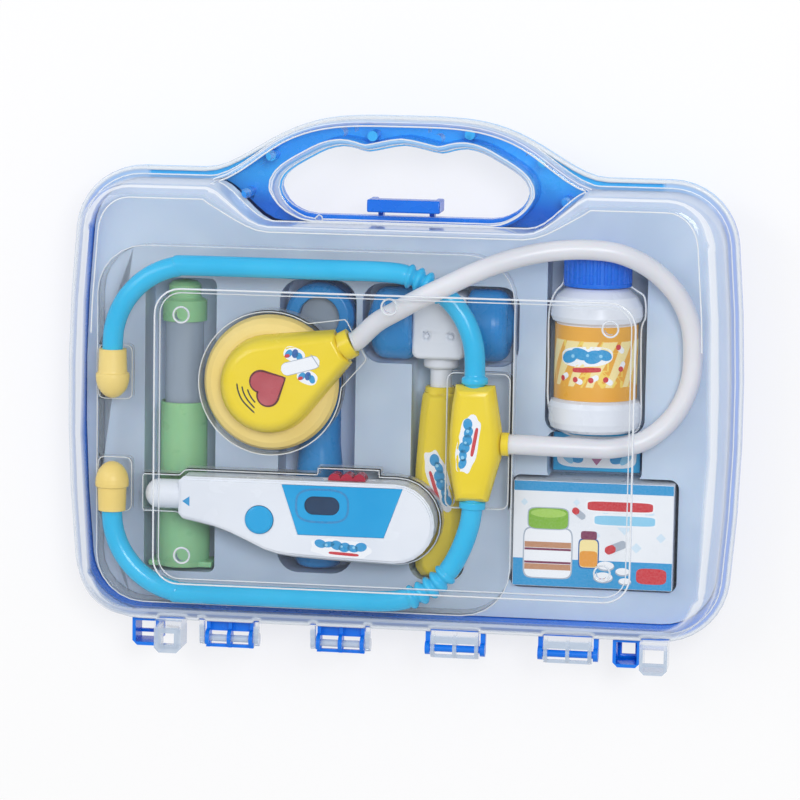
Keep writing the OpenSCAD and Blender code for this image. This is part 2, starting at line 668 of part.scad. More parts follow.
module chest_collar() {
    color("Gold") translate([disc_c[0], disc_c[1], hose_z]) rotate([0, 0, neck_a]) {
        along_x([neck_end, 0, 0]) difference() {
            union() {
                cylinder(r = collar_r - 0.4, h = 1);
                translate([0, 0, 1]) cylinder(r = collar_r, h = 3.8);
                translate([0, 0, -3]) cylinder(r = collar_r - 1.9, h = 3.2);
            }
            translate([0, 0, -4]) cylinder(r = 1.6, h = 12);
        }
    }
}
module heart_button() {
    low = board_z + 1.6 + heart_travel + 0.4;
    color("Crimson") translate([heart_c[0], heart_c[1], low]) rotate(neck_a) {
        linear_extrude(cover_top + 0.9 - low) heart(0);
        translate([0.5, 0, 0]) linear_extrude(cover_top - chest_wall - 0.3 - low) heart(1.1);
    }
}
board_z = cover_z + 2.4;
module circuit_board() {
    color("SeaGreen") {
        translate([disc_c[0] - 13, disc_c[1] - 9, board_z]) cube([26, 18, 1.6]);
        for (s = [-1, 1]) translate([disc_c[0] + s * screw_x, disc_c[1] - 6, cover_z - disc_h + chest_wall + 0.2])
            cylinder(r = 1.5, h = board_z - cover_z + disc_h - chest_wall - 0.2);
    }
}
module speaker() {
    color("DimGray") translate([disc_c[0] + 1.5, disc_c[1] + 8.6, disc_seat + chest_wall + 0.2]) {
        cylinder(r = 7, h = 2.6);
        cylinder(r = 4.4, h = 4.6);
    }
}
cell_r = 3.9;
cell_step = 0.6525 * (2 * cell_r + 0.4);    // the outer two lie this far to each side of the middle one
module button_cells() {
    color("Silver") for (i = [-1, 0, 1]) translate([disc_c[0] + i * cell_step,
        disc_c[1] - 3.2 - (i == 0 ? 6 : 0), disc_seat + chest_wall + 0.2]) cylinder(r = cell_r, h = 3.6);
}
module battery_door() {
    color("Khaki") translate([disc_c[0] - door_w / 2, disc_c[1] - door_h / 2, disc_seat]) difference() {
        cube([door_w, door_h, chest_wall - 0.1]);
        for (i = [-1:1]) translate([door_w / 2 + i * 3 - 0.6, 2, -over]) cube([1.2, door_h - 4, 0.4 + over]);
    }
}
module chest_screws() {
    color("Silver") for (s = [-1, 1]) translate([disc_c[0] + s * screw_x, disc_c[1] + screw_y, disc_seat]) difference() {
        cylinder(r = screw_r, h = 5);
        for (a = [0, 90]) rotate(a) translate([-1, -0.2, -over]) cube([2, 0.4, 0.5 + over]);
    }
}

// The hose leaves the yoke's port to the right, rests on the tray, rises over the bottle's cap and
// over the upper ear tube, and comes down to the chestpiece
hose_start = [yoke_c[0] + yoke_side + port_l, yoke_c[1], yoke_z];
hose_end_r = neck_end + collar_l;
function on_neck(r) = [disc_c[0] + r * cos(neck_a), disc_c[1] + r * sin(neck_a), hose_z];
hose_route = [hose_start, hose_start + [7, 0, 0], [63, -19.9, 39.8], [75, -20.3, 38], [88, -20.4, 35.2],
    [101, -16.9, 32], [112, -7, 29.6], [118, 6, 28.6], [119, 20, 28.7], [117.4, 32, 30.2], [112, 43.4, 33.2],
    [102, 53.6, 37.6], [90, 59.6, 41.4], [77.5, 61.4, 44], [64, 60.8, 46], [52, 58.6, 48],
    [41, 55.2, 49.4], [30.5, 50.8, 50.4], [20.8, 45.9, 50.6], [10.4, 40.6, 50], [0.1, 34.6, 47],
    [-9, 29, 43.6], on_neck(hose_end_r + 3), on_neck(hose_end_r)];
module white_tube() {
    color("WhiteSmoke") tube(hose_route, [for (p = hose_route) hose_d / 2], 12);
}

// The yoke's outline: wide ends with a swelling towards the port on its right
yoke_line = [[-yoke_w / 2 + 1.2, -yoke_l / 2], [yoke_w / 2 - 1.7, -yoke_l / 2], [yoke_w / 2 - 0.5, -yoke_l / 2 + 6],
    [yoke_w / 2 + 1.4, -9.5], [yoke_side, -yoke_port], [yoke_side, yoke_port], [yoke_w / 2 + 2, 9.5],
    [yoke_w / 2 + 0.6, yoke_l / 2 - 8], [yoke_w / 2 + 0.2, yoke_l / 2], [-yoke_w / 2 + 0.5, yoke_l / 2],
    [-yoke_w / 2 - 0.8, yoke_l / 2 - 8], [-yoke_w / 2 - 1.6, 6], [-yoke_w / 2 - 1.6, -6],
    [-yoke_w / 2 - 0.4, -yoke_l / 2 + 8]];
module yoke_half(up) {
    bore_r = ear_tube_d / 2 + 0.1;
    difference() {
        translate([yoke_c[0], yoke_c[1], yoke_z]) union() {
            hull() {
                translate([0, 0, up * 0.05]) linear_extrude(0.1, center = true) polygon(yoke_line);
                translate([0, 0, up * 3.6]) linear_extrude(0.1, center = true) offset(delta = -0.4) polygon(yoke_line);
                translate([0, 0, up * 6.6]) linear_extrude(0.1, center = true) offset(delta = -2) polygon(yoke_line);
                translate([0, 0, up * (yoke_w / 2 - 0.05)]) linear_extrude(0.1, center = true)
                    offset(delta = -4.6) polygon(yoke_line);
            }
        }
        translate([yoke_c[0], yoke_c[1] - yoke_l / 2 - over, yoke_z]) rotate([-90, 0, 0])
            cylinder(r = bore_r, h = plug_l + over);
        translate([yoke_c[0], yoke_c[1] + yoke_l / 2 - plug_l, yoke_z]) rotate([-90, 0, 0])
            cylinder(r = bore_r, h = plug_l + over);
        along_x([yoke_c[0] + yoke_side - 4, yoke_c[1], yoke_z]) cylinder(r = 2.95, h = 6);
        along_x([yoke_c[0], yoke_c[1], yoke_z]) cylinder(r = 1.6, h = 12);
    }
}
plug_l = 6;
module yoke_front() { color("Gold") yoke_half(1); }
module yoke_back() { color("Gold") yoke_half(-1); }
module yoke_collar() {
    color("Gold") along_x([yoke_c[0] + yoke_side, yoke_c[1], yoke_z]) difference() {
        union() {
            cylinder(r = 4.85, h = port_l);
            translate([0, 0, -3]) cylinder(r = 2.9, h = 4);
        }
        translate([0, 0, -4]) cylinder(r = 1.6, h = port_l + 5);
    }
}

// One ear tube: from its tip up the left side, round the corner, along the run, through the ribbed
// stretch and down into the yoke. dir is 1 for the upper tube and -1 for the lower one.
ribs = 5;
rib_in = 0.9;
function bend_points(run, dir) = [for (i = [0:8]) let (a = 180 - dir * 11.25 * i)
    [tip_x + bend_r + bend_r * cos(a), run - dir * bend_r + bend_r * sin(a), tube_z]];
function on_spline(pts, i, t) = between(pts[i - 1], pts[i], pts[i + 1], pts[i + 2], t);
upper_turn = [[-30, 49.5, tube_z], [-8, 49.4, tube_z], [2, 48.4, tube_z], [11, 45.2, tube_z], [19, 40, tube_z],
    [25, 33.4, tube_z], [29, 25.6, tube_z], [31, 17, tube_z]];
lower_turn = [[-30, -87.2, tube_z], [-6, -87.1, tube_z], [5, -85.4, tube_z], [14.6, -80.4, tube_z],
    [21.8, -73.2, tube_z], [26.6, -64.6, tube_z], [29.8, -55.4, tube_z], [31, -49, tube_z]];
// The ribbed stretch takes the spans between two of the turn's points
function ribbed(pts, first, count) = [for (j = [0:count - 1]) for (h = [0, 0.25, 0.5, 0.75]) let (
    t = (j + h) / count * 2, i = first + floor(t))
    [on_spline(pts, i, t - floor(t)), h == 0 ? -rib_in : h == 0.5 ? rib_out : 0]];
module ear_tube(start_y, run, dir, turn, yoke_end) {
    r = ear_tube_d / 2;
    ribbed_part = ribbed(turn, 2, ribs);
    smooth = concat([[[tip_x, start_y, tube_z], 0]], [for (p = bend_points(run, dir)) [p, 0]],
        [[turn[0], 0], [turn[1], 0]], [[on_spline(turn, 1, 0.85), 0]],
        ribbed_part,
        [[turn[4], -rib_in], [on_spline(turn, 4, 0.12), 0], [on_spline(turn, 4, 0.5), 0], [turn[5], 0], [on_spline(turn, 5, 0.5), 0], [turn[6], 0], [turn[7], 0]],
        [[[yoke_c[0], yoke_end + dir * 3.2, tube_z], 0], [[yoke_c[0], yoke_end + dir * 3.1, tube_z], 1.3],
         [[yoke_c[0], yoke_end + dir * 0.3, tube_z], 1.3], [[yoke_c[0], yoke_end + dir * 0.2, tube_z], -0.1],
         [[yoke_c[0], yoke_end - dir * (plug_l - 0.5), tube_z], -0.1]]);
    tube([for (s = smooth) s[0]], [for (s = smooth) r + s[1]], 10);
}
module upper_ear_tube() {
    color("DeepSkyBlue") ear_tube(upper_tip_y - 5, upper_run, 1, upper_turn, yoke_c[1] + yoke_l / 2);
}
module lower_ear_tube() {
    color("DeepSkyBlue") ear_tube(lower_tip_y + 5, lower_run, -1, lower_turn, yoke_c[1] - yoke_l / 2);
}
module ear_tip(y, dir) {
    r = ear_tip_d / 2;
    bore = ear_tube_d / 2 + 0.1;
    translate([tip_x, y, tube_z]) rotate([dir > 0 ? 90 : -90, 0, 0]) rotate_extrude() polygon(concat(
        [[bore, 0], [r - 1.3, 0], [r - 1, 9], [r - 0.9, 9.6], [r - 0.1, 10.2], [r, 11.5]],
        [for (i = [1:8]) let (a = 90 * i / 8) [r * cos(a), 11.5 + (tip_l - 11.5) * sin(a)]],
        [[0, 6.2], [bore, 6.2]]));
}
module upper_ear_tip() { color("Gold") ear_tip(upper_tip_y, 1); }
module lower_ear_tip() { color("Gold") ear_tip(lower_tip_y, -1); }

// ---------- Thermometer ----------

split_gap = 0.05;
module thermometer_front() {
    color("AliceBlue") difference() {
        union() {
            thermo_plate(0, thermo_z + split_gap, thermo_top - 2);
            thermo_plate(0.5, thermo_top - 2, thermo_top - 0.9);
            thermo_plate(1.3, thermo_top - 0.9, thermo_top);
        }
        thermo_plate(thermo_wall, thermo_z - over, thermo_top - 1.3 - thermo_wall);
        panel_prism(button_clear / 2, thermo_top - panel_t, thermo_top + over);
        translate([window_c[0], window_c[1], thermo_z]) linear_extrude(thermo_t)
            polygon(round_rect([0, 0], window_w + 2.2, window_h + 2.2, window_h / 2 + 0.9));
        translate([button_c[0], button_c[1], thermo_z]) cylinder(d = thermo_button_d + 2 * button_clear, h = thermo_t);
        slider_slot();
        probe_socket();
    }
}
module thermometer_back() {
    color("AliceBlue") difference() {
        union() {
            thermo_plate(0, thermo_seat + 2, thermo_z - split_gap);
            thermo_plate(0.5, thermo_seat + 0.9, thermo_seat + 2);
            thermo_plate(1.3, thermo_seat, thermo_seat + 0.9);
        }
        thermo_plate(thermo_wall, thermo_seat + 1.3 + thermo_wall, thermo_z + over);
        slider_slot();
        probe_socket();
        for (p = thermo_screws) translate([p[0], p[1], thermo_seat - over]) {
            cylinder(r = 2.5, h = 1.4 + over);
            cylinder(r = 1.5, h = thermo_wall + 4);
        }
    }
}
module probe_socket() {
    along_x([thermo_left - over, probe_y, thermo_z]) cylinder(d = probe_d + 0.1, h = thermo_wall + 2 * over);
}
thermo_screws = [[-82, -47], [6, -54]];
module thermometer_screws() {
    color("Silver") for (p = thermo_screws) translate([p[0], p[1], thermo_seat + 0.3]) difference() {
        union() {
            cylinder(r = 2.3, h = 1);
            cylinder(r = 1.3, h = 4.4);
        }
        for (a = [0, 90]) rotate(a) translate([-1.3, -0.25, -over]) cube([2.6, 0.5, 0.6 + over]);
    }
}
module thermometer_probe() {
    r = probe_d / 2;
    color("White") along_x([thermo_left + thermo_wall + 1.4, probe_y, thermo_z]) rotate([180, 0, 0]) rotate_extrude()
        polygon(concat([[0, 0], [r - 1.4, 0], [r - 1.4, 1.45], [r, 1.45], [r, 12.4]],
            [for (i = [1:8]) let (a = 90 * i / 8) [r * cos(a), 12.4 + (r - 0.6) * sin(a)]]));
}
panel_t = 0.8;
window_w = 14.6;
window_h = 7.6;
window_c = [-30.5, -47.6];
module panel_prism(grow, z0, z1) {
    translate([0, 0, z0]) linear_extrude(z1 - z0) polygon([[-47.4 - grow, thermo_top_y - 1.5 + grow],
        [2.9 + grow, thermo_top_y - 1.5 + grow], [-4.7 + grow, -60 - grow], [-40.4 - grow, -60 - grow]]);
}
module display_panel() {
    color("DeepSkyBlue") difference() {
        panel_prism(0, thermo_top - panel_t + 0.02, thermo_top + 0.1);
        translate([window_c[0], window_c[1], thermo_z]) linear_extrude(thermo_t)
            polygon(round_rect([0, 0], window_w, window_h, window_h / 2 - 0.1));
    }
}
module display_window() {
    color("MidnightBlue") translate([window_c[0], window_c[1], thermo_top - panel_t - 1.2]) linear_extrude(1.1)
        polygon(round_rect([0, 0], window_w + 2, window_h + 2, window_h / 2 + 0.8));
}
module thermometer_button() {
    low = thermo_top - thermo_wall - 1.3 - thermo_travel - 2.4;
    color("DodgerBlue") translate([button_c[0], button_c[1], low]) {
        cylinder(d = thermo_button_d, h = thermo_top + 0.6 - low);
        translate([0, 0, thermo_top + 0.6 - low]) cylinder(d1 = thermo_button_d, d2 = thermo_button_d - 2, h = 0.6);
        cylinder(d = thermo_button_d + 2.4, h = 1.2);
    }
}
slot_h = 5.4;
hump_out = 3.2; // how far the slider's humps stand out of the wall
slot_l = slider_l + 2 * slider_travel + 1 - 3;
module slider_slot() {
    translate([slider_c[0] - slot_l / 2, slider_c[1] - 2 * thermo_wall, thermo_z - slot_h / 2])
        cube([slot_l, 4 * thermo_wall, slot_h]);
}
module range_slider() {
    hump = slider_l / 3;
    color("Crimson") {
        translate([slider_c[0] - slider_l / 2, slider_c[1] + 0.25, thermo_z - slot_h / 2 - 1])
            cube([slider_l, 0.9, slot_h + 2]);
        difference() {
            for (i = [-1:1]) translate([slider_c[0] + i * hump, slider_c[1] + hump_out - hump / 2, thermo_z - slot_h / 2 - 1])
                cylinder(r = hump / 2, h = slot_h + 2);
            translate([slider_c[0] - slider_l, slider_c[1] - 2 * hump, thermo_z - slot_h])
                cube([2 * slider_l, 2 * hump + 0.25, 2 * slot_h]);
        }
        translate([slider_c[0] - 3.5, slider_c[1] - thermo_wall - 1.6, thermo_z - slot_h / 2 + 0.25])
            cube([7, thermo_wall + 2.2, slot_h - 0.5]);
        translate([slider_c[0] - 5, slider_c[1] - thermo_wall - 1.6, thermo_z - slot_h / 2 - 1])
            cube([10, 1.2, slot_h + 2]);
    }
}

// ---------- Bottle and cartons ----------

neck_r = cap_d / 2 - 3.4;
neck_l = cap_l - 3;
label_low = 13.6;
label_high = 44;
label_r = bottle_d / 2 - 2.4;
module bottle_body() {
    r = bottle_d / 2;
    color("White") along_y([bottle_x, bottle_low, bottle_z]) rotate_extrude() polygon([
        [0, 1.6], [r - 8, 1.6], [r - 6.4, 0], [r - 3, 0], [r - 0.8, 1.4], [r, 4], [r, label_low - 3.4],
        [r - 0.8, label_low - 1.2], [label_r, label_low - 0.4], [label_r, label_high + 0.4], [r - 0.8, label_high + 1.4],
        [r, label_high + 3.4], [r - 0.4, label_high + 7.4], [r - 2.4, bottle_l - 3.6], [r - 5.4, bottle_l - 1.2],
        [neck_r + 1.6, bottle_l - 0.2], [neck_r, bottle_l + 0.2], [neck_r, bottle_l + neck_l],
        [neck_r - 1.4, bottle_l + neck_l], [neck_r - 1.4, bottle_l - 1.6], [r - 6, bottle_l - 3], [r - 3.6, bottle_l - 5],
        [label_r - 1.5, label_high - 2], [label_r - 1.5, label_low + 2], [r - 2.6, 5], [r - 4, 3.2], [0, 3.2]]);
}
module bottle_cap() {
    r = cap_d / 2;
    flutes = 30;
    color("RoyalBlue") along_y([bottle_x, bottle_top + 0.5, bottle_z]) difference() {
        union() {
            cylinder(r = r, h = cap_l - 1.6);
            translate([0, 0, cap_l - 1.6]) cylinder(r1 = r, r2 = r - 1.3, h = 1.2);
        }
        translate([0, 0, -over]) cylinder(r = neck_r + 0.3, h = neck_l + 0.4 + over);
        for (i = [0:flutes - 1]) rotate(360 * i / flutes) translate([r + 0.35, 0, 1.6])
            cylinder(r = 0.9, h = cap_l - 4, $fn = 13);
    }
}
module bottle_label() {
    color("Orange") along_y([bottle_x, bottle_low + label_low, bottle_z]) difference() {
        cylinder(r = label_r + 0.45, h = label_high - label_low);
        translate([0, 0, -over]) cylinder(r = label_r + 0.05, h = label_high - label_low + 2 * over);
    }
}
board_t = 0.7;
module carton(c, w, h, d, slits) {
    translate([c[0] - w / 2, c[1] - h / 2, low_seat]) difference() {
        cube([w, h, d]);
        translate([board_t, board_t, board_t]) cube([w - 2 * board_t, h - 2 * board_t, d - 2 * board_t]);
        for (y = slits) translate([w - 2.6, y, d - 2 * board_t]) cube([3.6, 1, 3 * board_t]);
    }
}
module medicine_carton() { color("SkyBlue") carton(carton_c, carton_w, carton_h, carton_d, [3, carton_h - 4]); }
module small_carton() { color("DeepSkyBlue") carton(small_c, small_carton_w, small_h, small_carton_d, []); }

// ---------- Syringe: its plunger slides towards +Y over and inside the barrel ----------

barrel_wall = 1.2;
piston_y = barrel_low + 14;
module syringe_barrel() {
    color([0.85, 0.95, 1, 0.5]) along_y([syringe_x, barrel_low, syringe_z]) difference() {
        union() {
            cylinder(d = barrel_d, h = barrel_top - barrel_low);
            cylinder(d = barrel_d + 1.2, h = 1.6);
        }
        translate([0, 0, -over]) cylinder(d = barrel_d - 2 * barrel_wall, h = barrel_top - barrel_low - 2 + over);
        cylinder(r = 1.4, h = barrel_top - barrel_low + over);
    }
}
module syringe_nozzle() {
    r = 13.5 / 2;
    l = nozzle_top - barrel_top;
    color("LimeGreen") along_y([syringe_x, barrel_top - 8, syringe_z]) rotate_extrude() polygon([
        [barrel_d / 2 + 0.05, 0], [barrel_d / 2 + 1.3, 0], [barrel_d / 2 + 1.3, 8.6], [r + 0.5, 9.6], [r, 10.4],
        [r, 8 + l - 2.2], [r - 1.6, 8 + l - 0.6], [2.4, 8 + l], [1.4, 8 + l], [1.4, 8.1], [barrel_d / 2 + 0.05, 8.1]]);
}
rod_s = 5.6;
module syringe_piston() {
    color("DimGray") along_y([syringe_x, piston_y, syringe_z]) cylinder(d = barrel_d - 2 * barrel_wall - 2 * rod_clear, h = 5);
}
module plunger_rod() {
    w = barrel_d - 2 * barrel_wall - 1.4;
    color("White") {
        translate([syringe_x - w / 2, sleeve_low + 2.5, syringe_z - 0.8]) cube([w, piston_y - sleeve_low - 2.5, 1.6]);
        translate([syringe_x - 0.8, sleeve_low + 2.5, syringe_z - w / 2]) cube([1.6, piston_y - sleeve_low - 2.5, w]);
    }
}
sleeve_bore = barrel_d / 2 + 0.9;
module plunger_sleeve() {
    r = sleeve_d / 2;
    l = sleeve_top - sleeve_low;
    color("LimeGreen") {
        along_y([syringe_x, sleeve_low, syringe_z]) rotate_extrude() polygon([
            [0, 0], [r - 0.6, 0], [r - 0.6, 2.6], [r - 0.2, 3], [r, 12], [r - 0.8, 32], [sleeve_bore + 1, 34], [sleeve_bore + 0.9, l],
            [sleeve_bore, l], [sleeve_bore, 2.4], [0, 2.4]]);
        difference() {
            translate([syringe_x - flange_w / 2, sleeve_low, syringe_z - 7]) cube([flange_w, 2.4, 14]);
            along_y([syringe_x, sleeve_low - over, syringe_z]) cylinder(r = r - 1, h = 6);
        }
    }
}

// ---------- Reflex hammer ----------

block_h = 27;
block_t = 22;
module hammer_block() {
    x0 = hammer_c[0] - block_w / 2;
    color("WhiteSmoke") difference() {
        union() {
            plate(hammer_c, block_w, block_h, 3, hammer_z - block_t / 2, hammer_z + block_t / 2);
            along_y([hammer_c[0], hammer_c[1] - block_h / 2 - 4.7, hammer_z]) cylinder(d = 14.7, h = 6);
        }
        for (dx = [-5, 5]) translate([hammer_c[0] + dx, hammer_c[1] - 4, hammer_z + block_t / 2 - 0.6])
            cylinder(r = 1.1, h = over + 0.6);
        along_y([hammer_c[0], hammer_c[1] - block_h / 2 - 6, hammer_z]) cylinder(d = shaft_d + 0.1, h = 10);
        for (s = [-1, 1]) along_x([hammer_c[0] + (s > 0 ? block_w / 2 - 4 : -block_w / 2 - over), hammer_c[1], hammer_z])
            cylinder(d = 8.1, h = 5);
    }
}
module hammer_end(s) {
    r = hammer_d / 2;
    l = (hammer_l - block_w) / 2;
    translate([hammer_c[0] + s * (block_w / 2 + 0.05), hammer_c[1], hammer_z]) rotate([0, s * 90, 0]) {
        rotate_extrude() polygon(concat([[0, 0], [r - 2.4, 0], [r - 0.6, 1], [r, 2.6], [r, l - 9]],
            [for (i = [1:6]) let (a = 90 * i / 6) [r - 5 + 5 * cos(a), l - 9 + 6.2 * sin(a)]],
            [[5, l - 0.7], [0, l]]));
        translate([0, 0, -3.8]) cylinder(d = 8, h = 4);
    }
}
module hammer_left_end() { color("RoyalBlue") hammer_end(-1); }
module hammer_right_end() { color("RoyalBlue") hammer_end(1); }
shaft_d = 9;
module hammer_shaft() {
    color("WhiteSmoke") along_y([hammer_c[0], grip_top - 14, hammer_z])
        cylinder(d = shaft_d, h = hammer_c[1] - block_h / 2 + 3.8 - grip_top + 14);
}
module hammer_handle() {
    color("Gold") difference() {
        union() {
            translate([hammer_c[0], 0, hammer_z]) hull() {
                for (z = [-1, 1]) {
                    translate([0, 0, z * (grip_t / 2 - 0.05)]) linear_extrude(0.1, center = true) polygon(grip_line(4));
                    translate([0, 0, z * (grip_t / 2 - 3)]) linear_extrude(0.1, center = true) polygon(grip_line(0.8));
                    translate([0, 0, z * 1]) linear_extrude(0.1, center = true) polygon(grip_line(0));
                }
            }
            along_y([hammer_c[0], grip_top - 3, hammer_z]) cylinder(d = 13, h = 3);
        }
        along_y([hammer_c[0], grip_top - 14.5, hammer_z]) cylinder(d = shaft_d + 0.1, h = 16);
    }
}
// The handle widens from its top down to the thumb rest and narrows a little at its end
function grip_line(inset) = let (w = grip_w / 2 - inset, y1 = grip_top - 2 - inset * 0.5, y0 = grip_low + inset * 0.5) [
    [-w + 3, y0], [w - 3, y0], [w - 0.8, y0 + 3], [w, y0 + 10], [w, y0 + 44], [w - 1.4, y1 - 12], [w - 2.4, y1 - 2],
    [w - 3.4, y1], [-w + 3.4, y1], [-w + 2.4, y1 - 2], [-w + 1.4, y1 - 12], [-w, y0 + 44], [-w, y0 + 10], [-w + 0.8, y0 + 3]];

// ---------- Otoscope ----------

scope_split = 6;
scope_plug = 4.8;                            // how far the head's neck goes into the handle
module otoscope_handle() {
    r = scope_t / 2;
    l = scope_split - scope_low;
    color("DodgerBlue") along_y([scope_x, scope_low, scope_z]) rotate_extrude() polygon([
        [0, 0], [r - 3, 0], [r - 1.2, 0.8], [r - 0.3, 2.6], [r, 6], [r, l * 0.45], [r - 1.4, l * 0.62], [r - 1.4, l - 6],
        [r - 2, l - 1.6], [r - 3.4, l], [4.05, l], [4.05, l - 5], [0, l - 5]]);
}
module otoscope_head() {
    color("RoyalBlue") difference() {
        union() {
            along_y([scope_x, scope_split - scope_plug, scope_z])
                cylinder(d = 8, h = scope_top - scope_w + 4 - scope_split + scope_plug);
            translate([scope_x, scope_top - scope_w / 2, scope_z - scope_t / 2]) cylinder(d = scope_w, h = scope_t - 4);
            translate([scope_x, scope_top - scope_w / 2, scope_z + scope_t / 2 - 4])
                cylinder(d1 = scope_w, d2 = scope_w - 4, h = 2.4);
        }
        translate([scope_x, scope_top - scope_w / 2, scope_z - scope_t / 2 + 3]) cylinder(d = 17, h = scope_t);
    }
}
module otoscope_cone() {
    color("DimGray") translate([scope_x, scope_top - scope_w / 2, scope_z - scope_t / 2 + 3.05]) difference() {
        cylinder(d1 = 16.8, d2 = 10, h = 8);
        translate([0, 0, -over]) cylinder(r = 3, h = 12);
    }
}
module otoscope_lens() {
    color([0.6, 0.8, 1, 0.5]) translate([scope_x, scope_top - scope_w / 2, scope_z - scope_t / 2 + 11.1])
        cylinder(d = 16.8, h = 1.6);
}

rear_shell();
lid_shell();
latch();
parts_tray();
clear_blister();
chest_disc();
chest_cover();
chest_collar();
heart_button();
circuit_board();
speaker();
button_cells();
battery_door();
chest_screws();
white_tube();
yoke_front();
yoke_back();
yoke_collar();
upper_ear_tube();
lower_ear_tube();
upper_ear_tip();
lower_ear_tip();
thermometer_front();
thermometer_back();
thermometer_probe();
display_panel();
display_window();
thermometer_button();
range_slider();
thermometer_screws();
bottle_body();
bottle_cap();
bottle_label();
medicine_carton();
small_carton();
syringe_barrel();
syringe_nozzle();
syringe_piston();
plunger_rod();
plunger_sleeve();
hammer_block();
hammer_left_end();
hammer_right_end();
hammer_shaft();
hammer_handle();
otoscope_handle();
otoscope_head();
otoscope_cone();
otoscope_lens();
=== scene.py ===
"""Looks of the toy doctor case: a clear-fronted carry case lying on its back, with its toys in their trays.
Blender takes metres, and MM turns this file's millimetres into them. +X is to the right, +Y towards the handle, +Z
up out of the clear lid."""
import math

import bmesh
import bpy
import numpy as np
from mathutils import Matrix, Vector
from mathutils.bvhtree import BVHTree


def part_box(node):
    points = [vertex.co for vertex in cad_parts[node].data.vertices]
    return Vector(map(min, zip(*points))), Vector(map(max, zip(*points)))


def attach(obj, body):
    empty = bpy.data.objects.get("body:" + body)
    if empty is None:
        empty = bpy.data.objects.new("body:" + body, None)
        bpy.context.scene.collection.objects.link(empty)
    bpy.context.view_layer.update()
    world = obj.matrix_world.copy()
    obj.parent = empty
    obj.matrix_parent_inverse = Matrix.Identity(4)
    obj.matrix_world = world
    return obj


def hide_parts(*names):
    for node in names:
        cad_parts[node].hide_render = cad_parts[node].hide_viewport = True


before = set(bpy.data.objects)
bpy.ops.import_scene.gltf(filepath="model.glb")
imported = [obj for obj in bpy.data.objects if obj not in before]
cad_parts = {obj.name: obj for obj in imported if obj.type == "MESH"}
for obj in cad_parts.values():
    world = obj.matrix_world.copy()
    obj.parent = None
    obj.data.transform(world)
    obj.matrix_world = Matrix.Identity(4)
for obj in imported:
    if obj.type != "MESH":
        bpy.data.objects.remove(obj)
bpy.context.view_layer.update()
MM = 0.001


# ---------- Levels and places of the case, in millimetres ----------

BACK, FLANGE_FOOT = 0.0, 27.0           # the case's back, and the lower face of the blue half's flange
FLANGE_TOP, HANDLE_TOP = 33.0, 43.0     # the lid's flange and its handle half
FACE_UNDER, FACE, PANEL_TOP = 57.2, 59.0, 60.0   # the lid's face from below and above, and its raised panel
TRAY_TOP, BLISTER_TOP, CHEST_TOP = 24.0, 35.4, 45.2   # the formed sheets, and the yellow cover of the chestpiece
HINGE_SIDE = -101.0                     # below this Y the shells have their hinge ears and feet


# ---------- Camera, at the photograph's place above the lid ----------

PHOTO_SIZE = 800                        # the photograph is this many pixels wide and high
PHOTO_CENTRE = (402.0, 402.5)           # where the case's middle lies in it, in pixels
PARTING = 30 * MM                       # level at which the photograph was measured
BODY_MIDDLE = -5.5 * MM                 # middle of the case's body along Y
PIXEL = 0.4118 * MM                     # what one pixel covers at that level
LEAN = 0.35                             # pixels that a point moves left and down for each millimetre it rises
ROLL = math.radians(0.95)               # the case is turned this little in the picture
DISTANCE = 1.5                          # from the case to the camera
SENSOR = 36.0                           # width of the camera's sensor in millimetres


def photo_point(px, py):
    """The point at the parting level that a pixel shows: its offset from the middle, turned back by the roll."""
    u, v = px - PHOTO_CENTRE[0], PHOTO_CENTRE[1] - py
    c, s = math.cos(ROLL), math.sin(ROLL)
    return Vector(((u * c - v * s) * PIXEL, (u * s + v * c) * PIXEL + BODY_MIDDLE, PARTING))


def place_camera():
    data = bpy.data.cameras.new("photo_camera")
    camera = bpy.data.objects.new("photo_camera", data)
    bpy.context.scene.collection.objects.link(camera)
    bpy.context.scene.camera = camera
    lean = LEAN * PIXEL / MM
    back = Vector((lean, lean, 1)).normalized()
    up = Vector((-math.sin(ROLL), math.cos(ROLL), 0))
    right = up.cross(back).normalized()
    up = back.cross(right)
    where = photo_point(PHOTO_SIZE / 2, PHOTO_SIZE / 2) + back * DISTANCE
    camera.matrix_world = Matrix.Translation(where) @ Matrix((right, up, back)).transposed().to_4x4()
    data.sensor_width = SENSOR
    data.lens = SENSOR * DISTANCE / (PHOTO_SIZE * PIXEL)
    data.clip_start, data.clip_end = 0.05, 20


def seen_at(pixels, level):
    """Where pixels of the photograph lie at a level, in millimetres: a point that rises moves left and down by the
    lean and away from the picture's middle by its share of the camera's distance."""
    rise = level - PARTING / MM
    near = 1 - rise * MM / DISTANCE
    return np.array([tuple(photo_point(x + LEAN * rise, y - LEAN * rise))[:2] for x, y in pixels]) * near / MM


place_camera()


# ---------- Meshes ----------

WELD = 0.002 * MM                       # loose triangles whose corners are nearer than this are joined
SHARP = math.radians(38)                # faces that meet at less than this are shaded as one round surface


def put_mesh(name, points, faces, body, material, replaces=(), slot=None):
    """A piece from whole arrays: points is n by 3 in metres, faces is m by 3 or m by 4 point numbers."""
    points, faces = np.asarray(points, float).reshape(-1, 3), np.asarray(faces, int)
    mesh = bpy.data.meshes.new(name)
    corners = faces.shape[1]
    mesh.vertices.add(len(points))
    mesh.vertices.foreach_set("co", points.ravel())
    mesh.loops.add(faces.size)
    mesh.loops.foreach_set("vertex_index", faces.ravel())
    mesh.polygons.add(len(faces))
    mesh.polygons.foreach_set("loop_start", np.arange(0, faces.size, corners))
    mesh.polygons.foreach_set("use_smooth", np.ones(len(faces), bool))
    mesh.update(calc_edges=True)
    mesh.validate()
    mesh.materials.append(material)
    return put_piece(name, mesh, body, replaces, slot)


